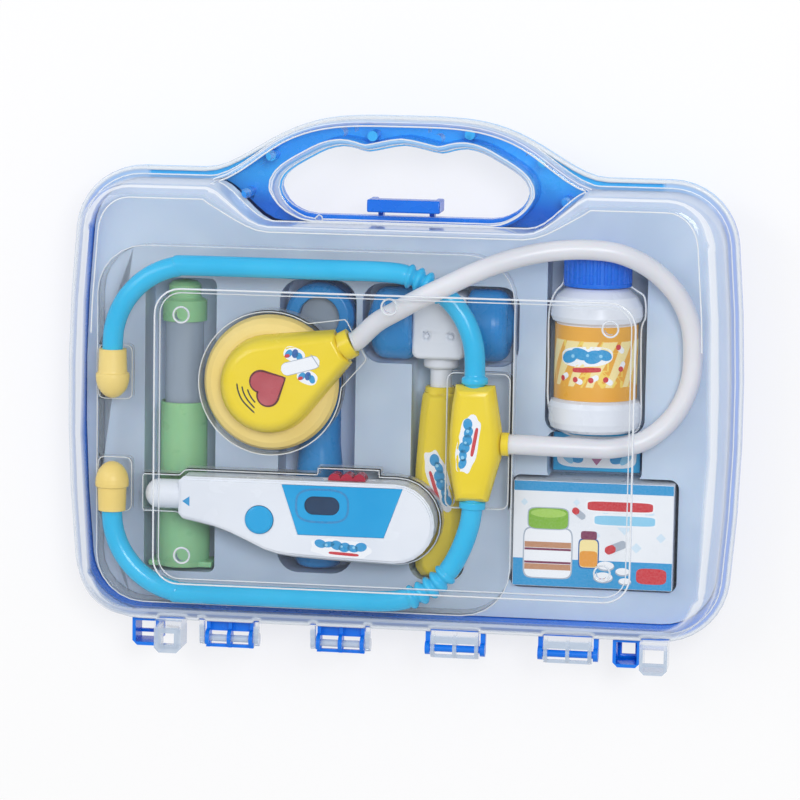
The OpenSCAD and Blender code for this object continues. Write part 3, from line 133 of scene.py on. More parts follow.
def put_piece(name, mesh, body, replaces=(), slot=None):
    piece = bpy.data.objects.new(name, mesh)
    bpy.context.scene.collection.objects.link(piece)
    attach(piece, body)
    if replaces:
        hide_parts(*replaces)
    return piece


def grid_faces(rows, columns, closed=True):
    """Quads over a grid of points, row after row; closed joins the last column to the first."""
    r, c = np.meshgrid(np.arange(rows - 1), np.arange(columns if closed else columns - 1), indexing="ij")
    a, b = r * columns + c, r * columns + (c + 1) % columns
    return np.stack([a, b, b + columns, a + columns], -1).reshape(-1, 4)


def welded(mesh, distance):
    """The mesh opened for work, with corners nearer to each other than the distance joined."""
    work = bmesh.new()
    work.from_mesh(mesh)
    bmesh.ops.remove_doubles(work, verts=work.verts, dist=distance)
    work.verts.index_update()
    return work


def smoothed(name, node, body, material, slot, rounding, levels=()):
    """A CAD node's own shape with its loose triangles merged and its flat faces joined, shaded round wherever two
    faces meet below the sharp angle. Sharper edges are bevelled by the rounding in millimetres; where levels are
    given, these are only the outward edges whose two ends both lie at one of them, clear of the hinge side."""
    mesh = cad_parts[node].data.copy()
    mesh.name = name
    mesh.materials.clear()
    mesh.materials.append(material)
    work = welded(mesh, WELD)
    bmesh.ops.dissolve_limit(work, angle_limit=math.radians(0.6), verts=work.verts, edges=work.edges)
    if levels:
        weight = work.edges.layers.float.new("bevel_weight_edge")
        for edge in work.edges:
            ends = [v.co / MM for v in edge.verts]
            at_level = any(all(abs(end.z - level) < 0.02 for end in ends) for level in levels)
            if at_level and min(end.y for end in ends) > HINGE_SIDE and len(edge.link_faces) == 2 and edge.is_convex:
                edge[weight] = float(edge.calc_face_angle() > SHARP)
    work.to_mesh(mesh)
    work.free()
    mesh.polygons.foreach_set("use_smooth", np.ones(len(mesh.polygons), bool))
    mesh.set_sharp_from_angle(angle=SHARP)
    piece = put_piece(name, mesh, body, (node,), slot)
    if rounding:
        bevel = piece.modifiers.new("rounding", "BEVEL")
        bevel.width, bevel.segments, bevel.limit_method = rounding * MM, 2, "ANGLE"
        bevel.angle_limit, bevel.use_clamp_overlap = SHARP, bool(levels)
        if levels:
            bevel.segments, bevel.limit_method = 3, "WEIGHT"
    piece.modifiers.new("even_shading", "WEIGHTED_NORMAL").keep_sharp = True


def spline(points, steps):
    """A smooth line through the points: each span is the cubic whose slope at a point is half the chord between
    its neighbours, taken at this many steps."""
    p = np.asarray(points, float)
    p = np.vstack([2 * p[0] - p[1], p, 2 * p[-1] - p[-2]])
    t = np.linspace(0, 1, steps, endpoint=False)[None, :, None]
    a, b, c, d = (p[i:len(p) - 3 + i, None, :] for i in range(4))
    line = 0.5 * (2 * b + (c - a) * t + (2 * a - 5 * b + 4 * c - d) * t ** 2 + (3 * b - a - 3 * c + d) * t ** 3)
    return np.vstack([line.reshape(-1, p.shape[1]), p[-2]])


def tube(path, radius, sides=24, closed=False):
    """Points and faces of a round tube: at each path point a circle stands square to the path, with one side level.
    A closed path joins its ends; an open one gets a fan at each end."""
    path = np.asarray(path, float)
    along = np.roll(path, -1, 0) - np.roll(path, 1, 0) if closed else np.gradient(path, axis=0)
    along /= np.linalg.norm(along, axis=1)[:, None]
    side = np.cross(along, (0, 0, 1))
    side /= np.linalg.norm(side, axis=1)[:, None]
    over = np.cross(side, along)
    turn = np.linspace(0, 2 * np.pi, sides, endpoint=False)
    radius = np.broadcast_to(radius, len(path))
    ring = np.cos(turn)[None, :, None] * side[:, None] + np.sin(turn)[None, :, None] * over[:, None]
    points = (path[:, None] + radius[:, None, None] * ring).reshape(-1, 3)
    faces = grid_faces(len(path), sides)
    n, first = len(points), np.arange(sides)
    last = first + (len(path) - 1) * sides
    if closed:
        return points, np.vstack([faces, np.stack([last, np.roll(last, -1), np.roll(first, -1), first], -1)])
    fans = [(np.full(sides, n), np.roll(first, -1), first, first),
            (np.full(sides, n + 1), last, np.roll(last, -1), last)]
    return np.vstack([points, path[[0, -1]]]), np.vstack([faces] + [np.stack(fan, -1) for fan in fans])


def loops_at(node, level, step=1.5):
    """The edges of a CAD node's flat upward faces at a level in millimetres, each a closed line of points spaced
    evenly along it, the longest first."""
    work = welded(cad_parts[node].data, WELD)
    # a dict keeps the mesh's own order, so that every run gives the same lines
    flat = dict.fromkeys(
        f for f in work.faces if f.normal.z > 0.99 and all(abs(v.co.z / MM - level) < 0.05 for v in f.verts))
    following = {}
    for face in flat:
        for corner in face.loops:
            if not any(other in flat for other in corner.edge.link_faces if other is not face):
                following[corner.vert.index] = (corner.link_loop_next.vert.index, tuple(corner.vert.co)[:2])
    work.free()
    loops = []
    while following:
        at, line = next(iter(following)), []
        while at in following:
            at, point = following.pop(at)
            line.append(point)
        line = np.array(line + line[:1]) / MM
        run = np.concatenate([[0], np.cumsum(np.linalg.norm(np.diff(line, axis=0), axis=1))])
        t = np.linspace(0, run[-1], max(int(run[-1] / step), 8), endpoint=False)
        loops.append(np.stack([np.interp(t, run, line[:, k]) for k in (0, 1)], 1))
    return sorted(loops, key=lambda loop: -len(loop))


def inset(line, reach):
    """A counter-clockwise closed line moved inwards, to the left of its way, by the reach."""
    along = np.roll(line, -1, 0) - np.roll(line, 1, 0)
    along /= np.linalg.norm(along, axis=1)[:, None]
    return line + reach * np.stack([-along[:, 1], along[:, 0]], 1)


# ---------- Prints and stickers: thin closed films laid on a surface ----------

FILM, SINK = 0.035, 0.02                # thickness of one printed layer, and how deep every film's foot is sunk
PRINT_WELD = 0.0005 * MM                # closes the middle of a film, well below its thickness

def turned(points, centre=(0, 0), degrees=0.0):
    """Plane points turned about their origin and moved to a centre."""
    c, s = math.cos(math.radians(degrees)), math.sin(math.radians(degrees))
    return np.asarray(points, float) @ np.array([[c, s], [-s, c]]) + centre


def oval(centre, width, height, degrees=0.0, power=2.0, count=36):
    """A superellipse: cosine and sine, each raised to two over the power with its sign kept."""
    t = np.linspace(0, 2 * np.pi, count, endpoint=False)
    bow = np.stack([np.cos(t), np.sin(t)], 1)
    bow = np.sign(bow) * np.abs(bow) ** (2 / power)
    return turned(bow * (width / 2, height / 2), centre, degrees)


def patch(corners, steps=5):
    """A straight-sided shape, with this many points along each side so that it can follow a curved surface."""
    corners = np.asarray(corners, float)
    t = np.linspace(0, 1, steps, endpoint=False)[None, :, None]
    return (corners[:, None] * (1 - t) + np.roll(corners, -1, 0)[:, None] * t).reshape(-1, 2)


def box_patch(low, high, steps=5):
    return patch([low, (high[0], low[1]), high, (low[0], high[1])], steps)


def film_of(outline, rings=4):
    """A closed film from an outline that runs counter-clockwise: rings shrink to the middle under it and over it."""
    outline = np.asarray(outline, float)
    middle = (outline.min(0) + outline.max(0)) / 2
    share = np.linspace(0, 1, rings + 1)[:, None, None]
    under = middle + (outline - middle) * share
    plan = np.concatenate([under, under[::-1]])
    height = np.repeat([0.0, 1.0], rings + 1)[:, None] * np.ones(len(outline))
    return plan, height


def spot(centre, width, height, colour, level, degrees=0.0, power=2.0):
    """One oval layer of a print: its film, its ink and how many films lie under it."""
    return film_of(oval(centre, width, height, degrees, power)), colour, level


def band(low, high, colour, level, steps=2):
    """One upright rectangular layer of a print."""
    return film_of(box_patch(low, high, steps)), colour, level


def stroke(path, width, round_ends=True):
    """A pen stroke: across the path a flat four-cornered section, narrowing at its ends as a half circle does."""
    path = np.asarray(path, float)
    along = np.gradient(path, axis=0)
    along /= np.linalg.norm(along, axis=1)[:, None]
    left = np.stack([-along[:, 1], along[:, 0]], 1)
    run = np.concatenate([[0], np.cumsum(np.linalg.norm(np.diff(path, axis=0), axis=1))])
    near = np.minimum(run, run[-1] - run) / (width / 2)
    half = width / 2 * (np.sqrt(np.clip(1 - (1 - np.clip(near, 0, 1)) ** 2, 0.0004, 1)) if round_ends else 1.0)
    side = left * np.broadcast_to(half, len(path))[:, None]
    plan = np.stack([path + side, path - side, path - side, path + side], 1)
    height = np.broadcast_to([1.0, 1.0, 0.0, 0.0], plan.shape[:2])
    return plan, height


def put_prints(name, place, layers, slot):
    """One piece from films: each layer is a film, its ink and how many films lie under it. The place turns plane
    points and a height, all in millimetres, into points of the model. What is printed on is fixed in the case."""
    points, faces, inks, count = [], [], [], 0
    materials = list(dict.fromkeys(layer[1] for layer in layers))
    for (plan, height), material, level in layers:
        rows, columns = height.shape
        high = np.where(height > 0, (level + height) * FILM, -SINK)
        points.append(place(plan.reshape(-1, 2), high.reshape(-1)))
        grid = grid_faces(rows, columns) + count
        ends = np.array([np.arange(columns)[::-1], np.arange(columns) + (rows - 1) * columns]) + count
        lids = ends if columns == 4 else ends[:0]
        faces += [grid, lids.reshape(-1, 4)]
        inks += [np.full(len(grid) + len(lids), materials.index(material))]
        count += rows * columns
    mesh = bpy.data.meshes.new(name)
    mesh.from_pydata((np.vstack(points) * MM).tolist(), [], np.vstack(faces).tolist())
    for material in materials:
        mesh.materials.append(material)
    mesh.polygons.foreach_set("material_index", np.concatenate(inks))
    work = welded(mesh, PRINT_WELD)
    work.to_mesh(mesh)
    work.free()
    mesh.polygons.foreach_set("use_smooth", np.ones(len(mesh.polygons), bool))
    mesh.set_sharp_from_angle(angle=math.radians(35))
    put_piece(name, mesh, "case_base", slot=slot)


def laid_on(node):
    """A place on top of a CAD node: straight down from above each plane point to the first face it meets."""
    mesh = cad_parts[node].data
    tree = BVHTree.FromPolygons([v.co for v in mesh.vertices], [tuple(p.vertices) for p in mesh.polygons])
    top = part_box(node)[1][2]

    def place(plan, height):
        found = [tree.ray_cast(Vector((x * MM, y * MM, 1.0)), Vector((0, 0, -1)))[0] for x, y in plan]
        level = np.array([hit.z if hit else top for hit in found]) / MM
        return np.column_stack([plan, level + height])
    return place


def sticker(centre, degrees, length, height, seed):
    """A plain die-cut sticker: a white wavy edge, in it a blue cloud of overlapping lozenges with three pale dots, and
    a red bar under the cloud."""
    draw = np.random.default_rng(seed)
    t = np.linspace(0, 2 * np.pi, 48, endpoint=False)
    bow = np.stack([np.cos(t), np.sin(t)], 1)
    bow = np.sign(bow) * np.abs(bow) ** 0.72 * (length / 2, height / 2) * (1 + 0.05 * np.cos(7 * t))[:, None]
    layers = [(film_of(turned(bow, centre, degrees)), white_ink, 0)]

    def at(along, across):
        return turned([(length * along, height * across)], centre, degrees)[0]

    for i, lift in enumerate(draw.uniform(-0.05, 0.09, 6)):
        tall = height * draw.uniform(0.34, 0.54)
        tilt = 24 * (i % 2) - 12
        layers.append(spot(at((i - 2.5) * 0.135, 0.1 + lift), length * 0.2, tall, sky_ink, 1, degrees + tilt))
    for along, size in ((-0.24, 0.17), (0.02, 0.13), (0.22, 0.16)):
        layers.append(spot(at(along, 0.12), height * size, height * size, pale_sky_ink, 2, degrees))
    layers.append(spot(at(0.06, -0.29), length * 0.5, height * 0.17, red_ink, 1, degrees, 4))
    return layers


# ---------- Materials ----------

def linear(code):
    """An sRGB hex colour as the linear values that the shader takes, and full cover."""
    parts = [int(code[i:i + 2], 16) / 255 for i in (1, 3, 5)]
    return tuple(v / 12.92 if v <= 0.04045 else ((v + 0.055) / 1.055) ** 2.4 for v in parts) + (1.0,)


def add(tree, kind, inputs=None, **settings):
    """Adds one shader node with its settings and gives its outputs; an input is a value, a colour code or another
    node's output."""
    node = tree.nodes.new("ShaderNode" + kind)
    for key, value in settings.items():
        setattr(node, key, value)
    for key, value in (inputs or {}).items():
        if isinstance(value, bpy.types.NodeSocket):
            tree.links.new(value, node.inputs[key])
        elif isinstance(value, str):
            node.inputs[key].default_value = linear(value)
        else:
            node.inputs[key].default_value = value
    return node.outputs


def new_material(name):
    material = bpy.data.materials.new(name)
    material.use_nodes = True
    material.node_tree.nodes.clear()
    return material, material.node_tree


def finish_material(tree, shader):
    add(tree, "OutputMaterial", {"Surface": shader})


def noise(tree, size, detail=2.0):
    """Noise whose blobs are this many millimetres across, on the piece's own coordinates."""
    place = add(tree, "TexCoord")["Object"]
    return add(tree, "TexNoise", {"Vector": place, "Scale": 1 / (size * MM), "Detail": detail})["Fac"]


def parts_of(tree, output):
    """X, Y and Z of a point's place ("Object") or of its face's direction ("Normal"), both as the piece has them."""
    return add(tree, "SeparateXYZ", {0: add(tree, "TexCoord")[output]})


def share_where(tree, *spans, most=None):
    """A share from spans: each is a source with a low and a high, between which it counts from 0 to 1. The counts
    are multiplied with each other and with the most that the share may be."""
    share = None
    for source, low, high in spans:
        count = add(tree, "MapRange", {"Value": source, "From Min": low, "From Max": high})["Result"]
        share = count if share is None else add(tree, "Math", {0: share, 1: count}, operation="MULTIPLY")[0]
    return add(tree, "Math", {0: share, 1: most}, operation="MULTIPLY")[0] if most else share


def moulded(name, colour, flow, rough=0.28, grain=0.9, depth=0.02, glow=0.0, coat=0.0, painted_light=None):
    """Injection-moulded plastic: its colour drifts over 34 mm where the melt flowed, and the skin has a fine grain
    in its gloss and its height. Where given, a paler colour is painted over places that lie in shade, as painted
    light, with the axis and the two places in millimetres along it between which it turns."""
    material, tree = new_material(name)
    drift = share_where(tree, (noise(tree, 34, 3), 0.35, 0.68))
    tint = add(tree, "Mix", {0: drift, 6: colour, 7: flow}, data_type="RGBA")[2]
    # painted light: the colour turns paler over places that lie in shade
    if painted_light:
        painted_colour, axis, start, end = painted_light
        painted_share = share_where(tree, (parts_of(tree, "Object")[axis], start * MM, end * MM))
        tint = add(tree, "Mix", {0: painted_share, 6: tint, 7: painted_colour}, data_type="RGBA")[2]
    skin = noise(tree, grain, 3)
    scuff = share_where(tree, (noise(tree, 9, 5), 0.3, 0.75))
    gloss = add(tree, "MapRange", {"Value": scuff, "To Min": rough * 0.8, "To Max": rough * 1.3})["Result"]
    bump = add(tree, "Bump", {"Height": skin, "Strength": 0.35, "Distance": depth * MM})
    shader = add(tree, "BsdfPrincipled", {
        "Base Color": tint, "Roughness": gloss, "Normal": bump[0], "IOR": 1.5, "Coat Weight": coat,
        "Coat Roughness": 0.08, "Subsurface Weight": glow, "Subsurface Scale": 2 * MM})
    finish_material(tree, shader[0])
    return material


def clear(name, tint, body, haze, edge_haze_and_sheen, power, gloss=0.06, grain=6.0, depth=0.03, painted_light_and_matt=None):
    """Clear moulded or formed plastic: the outer face of a wall carries a faint veil, which grows to a pale body
    colour where the wall is seen edge on, partly haze and partly a painted sheen, and a mirror skin over a slightly
    wavy bump. The inner face of the wall and the light on its way to what lies behind pass with hardly a loss. The
    veils are a function of the tree that gives pairs: a share, and the colour painted on the wall by it as painted
    light. Its last pair is for walls that the mould left matt, and these are seen from inside too."""
    material, tree = new_material(name)
    wave = add(tree, "Bump", {"Height": noise(tree, grain, 2), "Strength": 0.3, "Distance": depth * MM})[0]
    # the veil towards edge-on walls is partly the plastic's haze and partly a painted sheen
    facing = add(tree, "LayerWeight", {"Blend": 0.5})["Facing"]
    steep = add(tree, "Math", {0: facing, 1: power}, operation="POWER")[0]
    veil = add(tree, "MapRange", {"Value": steep, "To Min": haze, "To Max": edge_haze_and_sheen})["Result"]
    inside = add(tree, "NewGeometry")["Backfacing"]
    if painted_light_and_matt:
        for share, colour in painted_light_and_matt(tree):
            body = add(tree, "Mix", {0: share, 6: body, 7: colour}, data_type="RGBA")[2]
            veil = add(tree, "Math", {0: veil, 1: share}, operation="MAXIMUM")[0]
        inside = add(tree, "Math", {0: inside, 1: share}, operation="SUBTRACT", use_clamp=True)[0]
    through = add(tree, "BsdfTransparent", {"Color": tint})[0]
    free = add(tree, "BsdfTransparent", {"Color": "#FFFFFF"})[0]
    skin = add(tree, "BsdfPrincipled", {"Base Color": body, "Roughness": 0.35, "IOR": 1.45, "Normal": wave})
    walls = add(tree, "MixShader", {0: veil, 1: through, 2: skin[0]})
    mirror = add(tree, "BsdfGlossy", {"Color": "#FFFFFF", "Roughness": gloss, "Normal": wave})
    shine = add(tree, "Fresnel", {"IOR": 1.4, "Normal": wave})[0]
    glass = add(tree, "MixShader", {0: shine, 1: walls[0], 2: mirror[0]})
    path = add(tree, "LightPath")
    passing = add(tree, "Math", {0: path["Is Shadow Ray"], 1: path["Is Diffuse Ray"]}, operation="MAXIMUM")[0]
    unseen = add(tree, "Math", {0: passing, 1: inside}, operation="MAXIMUM")[0]
    finish_material(tree, add(tree, "MixShader", {0: unseen, 1: glass[0], 2: free})[0])
    return material


def lid_painted_light(tree):
    """Painted light on the lid's clear wall, by its place and its slope, and the matt of its ears and feet."""
    place, turn = parts_of(tree, "Object"), parts_of(tree, "Normal")
    wide = add(tree, "Math", {0: place["X"]}, operation="ABSOLUTE")[0]
    low = (place["Z"], (FLANGE_TOP + 0.8) * MM, (FLANGE_TOP + 0.3) * MM)
    high = (place["Z"], (FLANGE_TOP + 0.2) * MM, (FLANGE_TOP + 1) * MM)
    shoulder = (place["Z"], (FLANGE_TOP + 1) * MM, (FLANGE_TOP + 5) * MM)
    # how far the slope is from the painted gleam's: 30 degrees, and nearly 60 on the handle's side
    up = add(tree, "Math", {0: turn["Y"], 1: 0.0}, operation="MAXIMUM")[0]
    slope = add(tree, "Math", {0: up, 1: 0.36, 2: turn["Z"]}, operation="MULTIPLY_ADD")[0]
    off = add(tree, "Math", {0: slope, 1: 0.86}, operation="SUBTRACT")[0]
    off = add(tree, "Math", {0: off}, operation="ABSOLUTE")[0]
    return (
        # a painted sheen on the flange's pale stretches, left and right beyond the case's straight top and bottom
        # edges
        (share_where(tree, low, (wide, 105 * MM, 107 * MM), most=0.55), "#B8CAEA"),
        # a painted lavender sheen where the wall rolls over to the lid's face, from 6 degrees of slope on
        (share_where(tree, (turn["Z"], 0.995, 0.9), shoulder, most=0.5), "#B2C4E8"),
        # the steep wall on the handle's side, painted bright blue as painted light from the blue half behind it
        (share_where(tree, (turn["Z"], 0.45, 0.3), high, (turn["Y"], 0.3, 0.6), most=0.3), "#8EBAF4"),
        # the roll on the hinge side, painted grey-blue as painted light from the blue back half that shines through
        (share_where(tree, (turn["Z"], 0.99, 0.85), shoulder, (turn["Y"], -0.15, -0.5), most=0.45), "#9CB6DC"),
        # the painted white highlight, which the hinge side doesn't have
        (share_where(tree, (off, 0.13, 0.08), shoulder, (turn["Y"], -0.55, -0.2), most=0.8), "#FAFCFF"),
        # the matt ears and feet, beyond the flange on the hinge side
        (share_where(tree, (place["Y"], (HINGE_SIDE - 0.5) * MM, (HINGE_SIDE - 1.5) * MM), most=0.7), "#9DB2CA"))


def rim(name, colour, cover):
    """A polished rounded edge of clear plastic, painted pale as a highlight of the light it gathers: glossy and only a
    little see-through.
    """
    material, tree = new_material(name)
    wave = add(tree, "Bump", {"Height": noise(tree, 5, 2), "Strength": 0.3, "Distance": 0.02 * MM})[0]
    shader = add(tree, "BsdfPrincipled", {
        "Base Color": colour, "Roughness": 0.12, "IOR": 1.5, "Alpha": cover, "Normal": wave})
    finish_material(tree, shader[0])
    return material


def ink(name, colour, rough=0.35):
    """Printed ink on film or card: a thin, even coat whose density mottles by a few hundredths every 0.8 mm."""
    material, tree = new_material(name)
    mottle = share_where(tree, (noise(tree, 0.8, 2), 0.3, 0.7))
    paler = add(tree, "Mix", {0: 0.06, 6: colour, 7: "#FFFFFF"}, data_type="RGBA")[2]
    tint = add(tree, "Mix", {0: mottle, 6: colour, 7: paler}, data_type="RGBA")[2]
    gloss = add(tree, "MapRange", {"Value": mottle, "To Min": rough * 0.85, "To Max": rough * 1.2})["Result"]
    shader = add(tree, "BsdfPrincipled", {"Base Color": tint, "Roughness": gloss, "IOR": 1.5})
    finish_material(tree, shader[0])
    return material


# royal blue polypropylene, injection moulded: deep, glossy and a little translucent, and painted paler sky blue
# towards the handle as painted light, where its deep trough lies in shade
blue_polypropylene = moulded(
    "blue_polypropylene_moulded", "#0070E2", "#087CEE", 0.26, glow=0.05, painted_light=("#38B8FF", "Y", 74, 86))
# the same plastic in solid walls: the latch and the bottle's cap
deep_blue_polypropylene = moulded("deep_blue_polypropylene_moulded", "#0068DC", "#0074E8", 0.26, glow=0.05)
# azure polypropylene, injection moulded: the tools' paler blue
azure_polypropylene = moulded("azure_polypropylene_moulded", "#1486D0", "#2494DA", 0.28, glow=0.05)
# clear polystyrene, injection moulded: nearly unseen face on, a painted lavender sheen where the shoulder rolls over
# with a painted white highlight along it, a painted pale sheen on the side flanges, and grey and matt at the hinge
# ears and feet
clear_polystyrene = clear(
    "clear_polystyrene_moulded", "#F8FAFD", "#DCE6F4", 0.0, 0.8, 1.5, 0.05, painted_light_and_matt=lid_painted_light)
# pale grey-blue PVC sheet, vacuum formed: satin and softly uneven, and painted paler towards the pockets' floors as
# painted light, where the deep pockets lie in shade
formed_tray = moulded(
    "pale_blue_pvc_vacuum_formed", "#B6C8DE", "#C6D6E8", 0.42, 1.6, 0.03, glow=0.1, painted_light=("#D6E8FF", "Z", 22, 4))
# clear PET sheet, vacuum formed: thinner and wavier than the lid, with a painted sheen where seen edge on and rounded
# rims painted pale as highlights
formed_blister = clear("clear_pet_vacuum_formed", "#FFFFFF", "#EEF4FC", 0.0, 0.75, 1.5, 0.1, 4, 0.05)
# yellow ABS, injection moulded: warm and glossy
yellow_abs = moulded("yellow_abs_moulded", "#F0D52C", "#F4DA40", 0.22)
# pale yellow ABS, satin from a fine spark-eroded mould
pale_yellow_abs = moulded("pale_yellow_abs_satin_moulded", "#F2D478", "#F5DC8C", 0.4, 0.7, 0.03)
# sky blue soft PVC, moulded tube: wet-looking gloss
sky_pvc = moulded("sky_blue_pvc_moulded", "#2AB8E8", "#3AC2F0", 0.2, glow=0.08)
# white flexible PVC, extruded hose: satin with a fine drawn grain
white_pvc = moulded("white_pvc_extruded", "#DCDDE3", "#E6E6EB", 0.34, 1.2, 0.02, glow=0.1)
# white ABS, injection moulded: cool white, glossy
white_abs = moulded("white_abs_moulded", "#E2E7F0", "#EAEEF5", 0.24)
# sky blue ABS, moulded panel: glossy
panel_abs = moulded("sky_blue_abs_panel", "#0F9CDA", "#22A8E2", 0.2)
# smoked blue styrene window: nearly black under a deep gloss
smoked_window = moulded("smoked_blue_styrene_window", "#1E3450", "#284464", 0.1, coat=0.5)
# red ABS, injection moulded: glossy
red_abs = moulded("red_abs_moulded", "#A81C38", "#B82640", 0.24)
# dark red rubbery PVC with a mottled pink bloom: the pressed heart
heart_pvc = moulded("rose_pvc_moulded", "#A83440", "#CC7078", 0.3, glow=0.1)
# green translucent polypropylene: lets light in, so its shade is soft
green_polypropylene = moulded("green_polypropylene_moulded", "#92CC98", "#9ED69E", 0.3, glow=0.25)
# dark grey polypropylene, satin
dark_polypropylene = moulded("dark_polypropylene_satin_moulded", "#2B2E34", "#33373E", 0.45)
# nickel-plated steel: pale grey, only inside the toys
plated_steel = moulded("nickel_plated_steel", "#B8BABE", "#C4C6CA", 0.3)
# green lacquered circuit board: dark and glossy, inside the chestpiece
lacquered_board = moulded("green_lacquered_board", "#1E6B3A", "#257843", 0.3)
# clear styrene tube, injection moulded: milky, and paler where its walls turn away, partly from its milk and partly as
# a painted sheen
clear_tube = clear("clear_styrene_tube_moulded", "#F6F9FC", "#C6D8EC", 0.58, 0.97, 1.1)
# white gloss card, printed: smooth with a broad sheen, the same in sky blue, and the label's orange film
gloss_card = moulded("white_gloss_card_printed", "#E9EDF3", "#F0F3F7", 0.3, 2.2, 0.02)
sky_card = moulded("sky_blue_gloss_card_printed", "#1AA2DA", "#2AAEE2", 0.3, 2.2, 0.02)
label_film = moulded("orange_label_film_printed", "#E8A63A", "#EDB24C", 0.32, 2.2, 0.02)
# printing inks, thin and satin, as coarse a mottle as shows
white_ink, sky_ink = ink("white_printing_ink", "#F2F4F8"), ink("sky_blue_printing_ink", "#1C96D0")
pale_sky_ink, deep_blue_ink = ink("pale_sky_printing_ink", "#8CCDEC"), ink("deep_blue_printing_ink", "#1C5FA8")
red_ink, orange_ink = ink("red_printing_ink", "#CC2A34"), ink("orange_printing_ink", "#E79A30")
yellow_ink, cream_ink = ink("yellow_printing_ink", "#F3D35A"), ink("cream_printing_ink", "#F6E3A0")
green_ink, black_ink = ink("leaf_green_printing_ink", "#7FB52E"), ink("black_pad_printing_ink", "#23231F", 0.45)
pale_green_ink, tan_ink = ink("pale_green_printing_ink", "#A6D05A"), ink("tan_printing_ink", "#C08A66")
plum_ink, grey_ink = ink("plum_printing_ink", "#7C2A50"), ink("cool_grey_printing_ink", "#A9B4C2")
haze_ink, rose_ink = ink("pale_blue_haze_printing_ink", "#D2E6F4"), ink("rose_printing_ink", "#B46A92")
# the first ink here, deep sky blue, is painted shade for the recess round the thermometer's window
painted_recess_shade_ink, dark_rose_ink = ink("deep_sky_painted_recess_shade", "#0E86C2"), ink("dark_rose_pad_printing_ink", "#64202A")
# clear polystyrene, the polished rims of the lid and the clear sheets: a painted highlight, pale and bright from every
# side
rim_painted_highlight = rim("clear_polystyrene_rim_painted_highlight", "#F4F8FC", 0.72)

# what each solid is made of
made_of = (
    (blue_polypropylene, "rear_shell"), (deep_blue_polypropylene, "latch bottle_cap"),
    (clear_polystyrene, "lid_shell"), (formed_tray, "parts_tray"), (formed_blister, "clear_blister"),
    (white_pvc, "white_tube"),
    (pale_yellow_abs, "chest_disc battery_door upper_ear_tip lower_ear_tip"),
    (yellow_abs, "chest_cover chest_collar yoke_front yoke_back yoke_collar hammer_handle"),
    (heart_pvc, "heart_button"), (lacquered_board, "circuit_board"), (sky_pvc, "upper_ear_tube lower_ear_tube"),
    (plated_steel, "button_cells chest_screws thermometer_screws"),
    (dark_polypropylene, "speaker syringe_piston otoscope_cone"),
    (white_abs, "thermometer_front thermometer_back thermometer_probe bottle_body plunger_rod hammer_block"),
    (white_abs, "hammer_shaft"), (red_abs, "range_slider"), (label_film, "bottle_label"),
    (panel_abs, "display_panel thermometer_button"), (smoked_window, "display_window"),
    (gloss_card, "medicine_carton"), (sky_card, "small_carton"), (clear_tube, "syringe_barrel otoscope_lens"),
    (green_polypropylene, "syringe_nozzle plunger_sleeve"),
    (azure_polypropylene, "hammer_left_end hammer_right_end otoscope_handle otoscope_head"))
finishes = {node: finish for finish, nodes in made_of for node in nodes.split()}
for node, finish in finishes.items():
    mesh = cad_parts[node].data
    mesh.materials.clear()
    mesh.materials.append(finish)


# ---------- The stethoscope's white hose -------------------------

HOSE_WIDTH = 8.2 * MM
# the hose's points, as the solids have them, from the yoke's port to the chestpiece's collar
HOSE_ROUTE = np.array([
    (45.85, -19.6, 40.3), (52.85, -19.6, 40.3), (63, -19.9, 39.8), (75, -20.3, 38), (88, -20.4, 35.2),
    (101, -16.9, 32), (112, -7, 29.6), (118, 6, 28.6), (119, 20, 28.7), (117.4, 32, 30.2), (112, 43.4, 33.2),
    (102, 53.6, 37.6), (90, 59.6, 41.4), (77.5, 61.4, 44), (64, 60.8, 46), (52, 58.6, 48), (41, 55.2, 49.4),
    (30.5, 50.8, 50.4), (20.8, 45.9, 50.6), (10.4, 40.6, 50), (0.1, 34.6, 47), (-9, 29, 43.6),
    (-16.89, 21.52, 40.2), (-19.52, 20.09, 40.2)]) * MM


def make_hose():
    line = spline(HOSE_ROUTE, 6)
    hose = put_mesh("white_hose", *tube(line, HOSE_WIDTH / 2, 32), "case_base", white_pvc, slot="white_hose",
                    replaces=("white_tube",))


make_hose()


# ---------- Case: both halves, the latch and the trays ----------

for name, node, body, slot, rounding, levels in (
        ("case_back", "rear_shell", "case_base", "blue_shell", 0.8, (BACK, FLANGE_FOOT)),
        ("clear_lid", "lid_shell", "lid", "clear_shell", 1.3, (PANEL_TOP, FLANGE_TOP)),
        ("latch_cap", "latch", "latch_body", "blue_trim", 0.6, ()),
        ("tool_tray", "parts_tray", "case_base", "tray_sheet", 1.0, (TRAY_TOP,)),
        ("blister", "clear_blister", "case_base", "clear_sheet", 0.5, ())):
    smoothed(name, node, body, finishes[node], slot, rounding, levels)


# ---------- Stethoscope ----------

TIP_X, TUBE_LEVEL, BEND = -119.5, 40.3, 33.0   # the ear tubes' left run, their level and their left bends' radius
EAR_TUBE = 8.5                          # their thickness
RIBS, RIB_IN, RIB_OUT = 5, 1.9, 0.9     # their beads, and how far these go below and above the tube's skin
COLLAR_OUT, COLLAR_HALF, COLLAR_RISE = 1.7, 1.5, 1.2   # the bead at the yoke: its place before it, half width, height
YOKE = np.array([31.3, -19.6])
YOKE_LENGTH, YOKE_DEPTH = 48.0, 5.0     # the yoke, and how deep the tubes go into it
UPPER_TURN = [(-30, 49.5), (-8, 49.4), (2, 48.4), (11, 45.2), (19, 40), (25, 33.4), (29, 25.6), (31, 17)]
LOWER_TURN = [(-30, -87.2), (-6, -87.1), (5, -85.4), (14.6, -80.4), (21.8, -73.2), (26.6, -64.6), (29.8, -55.4),
              (31, -49)]


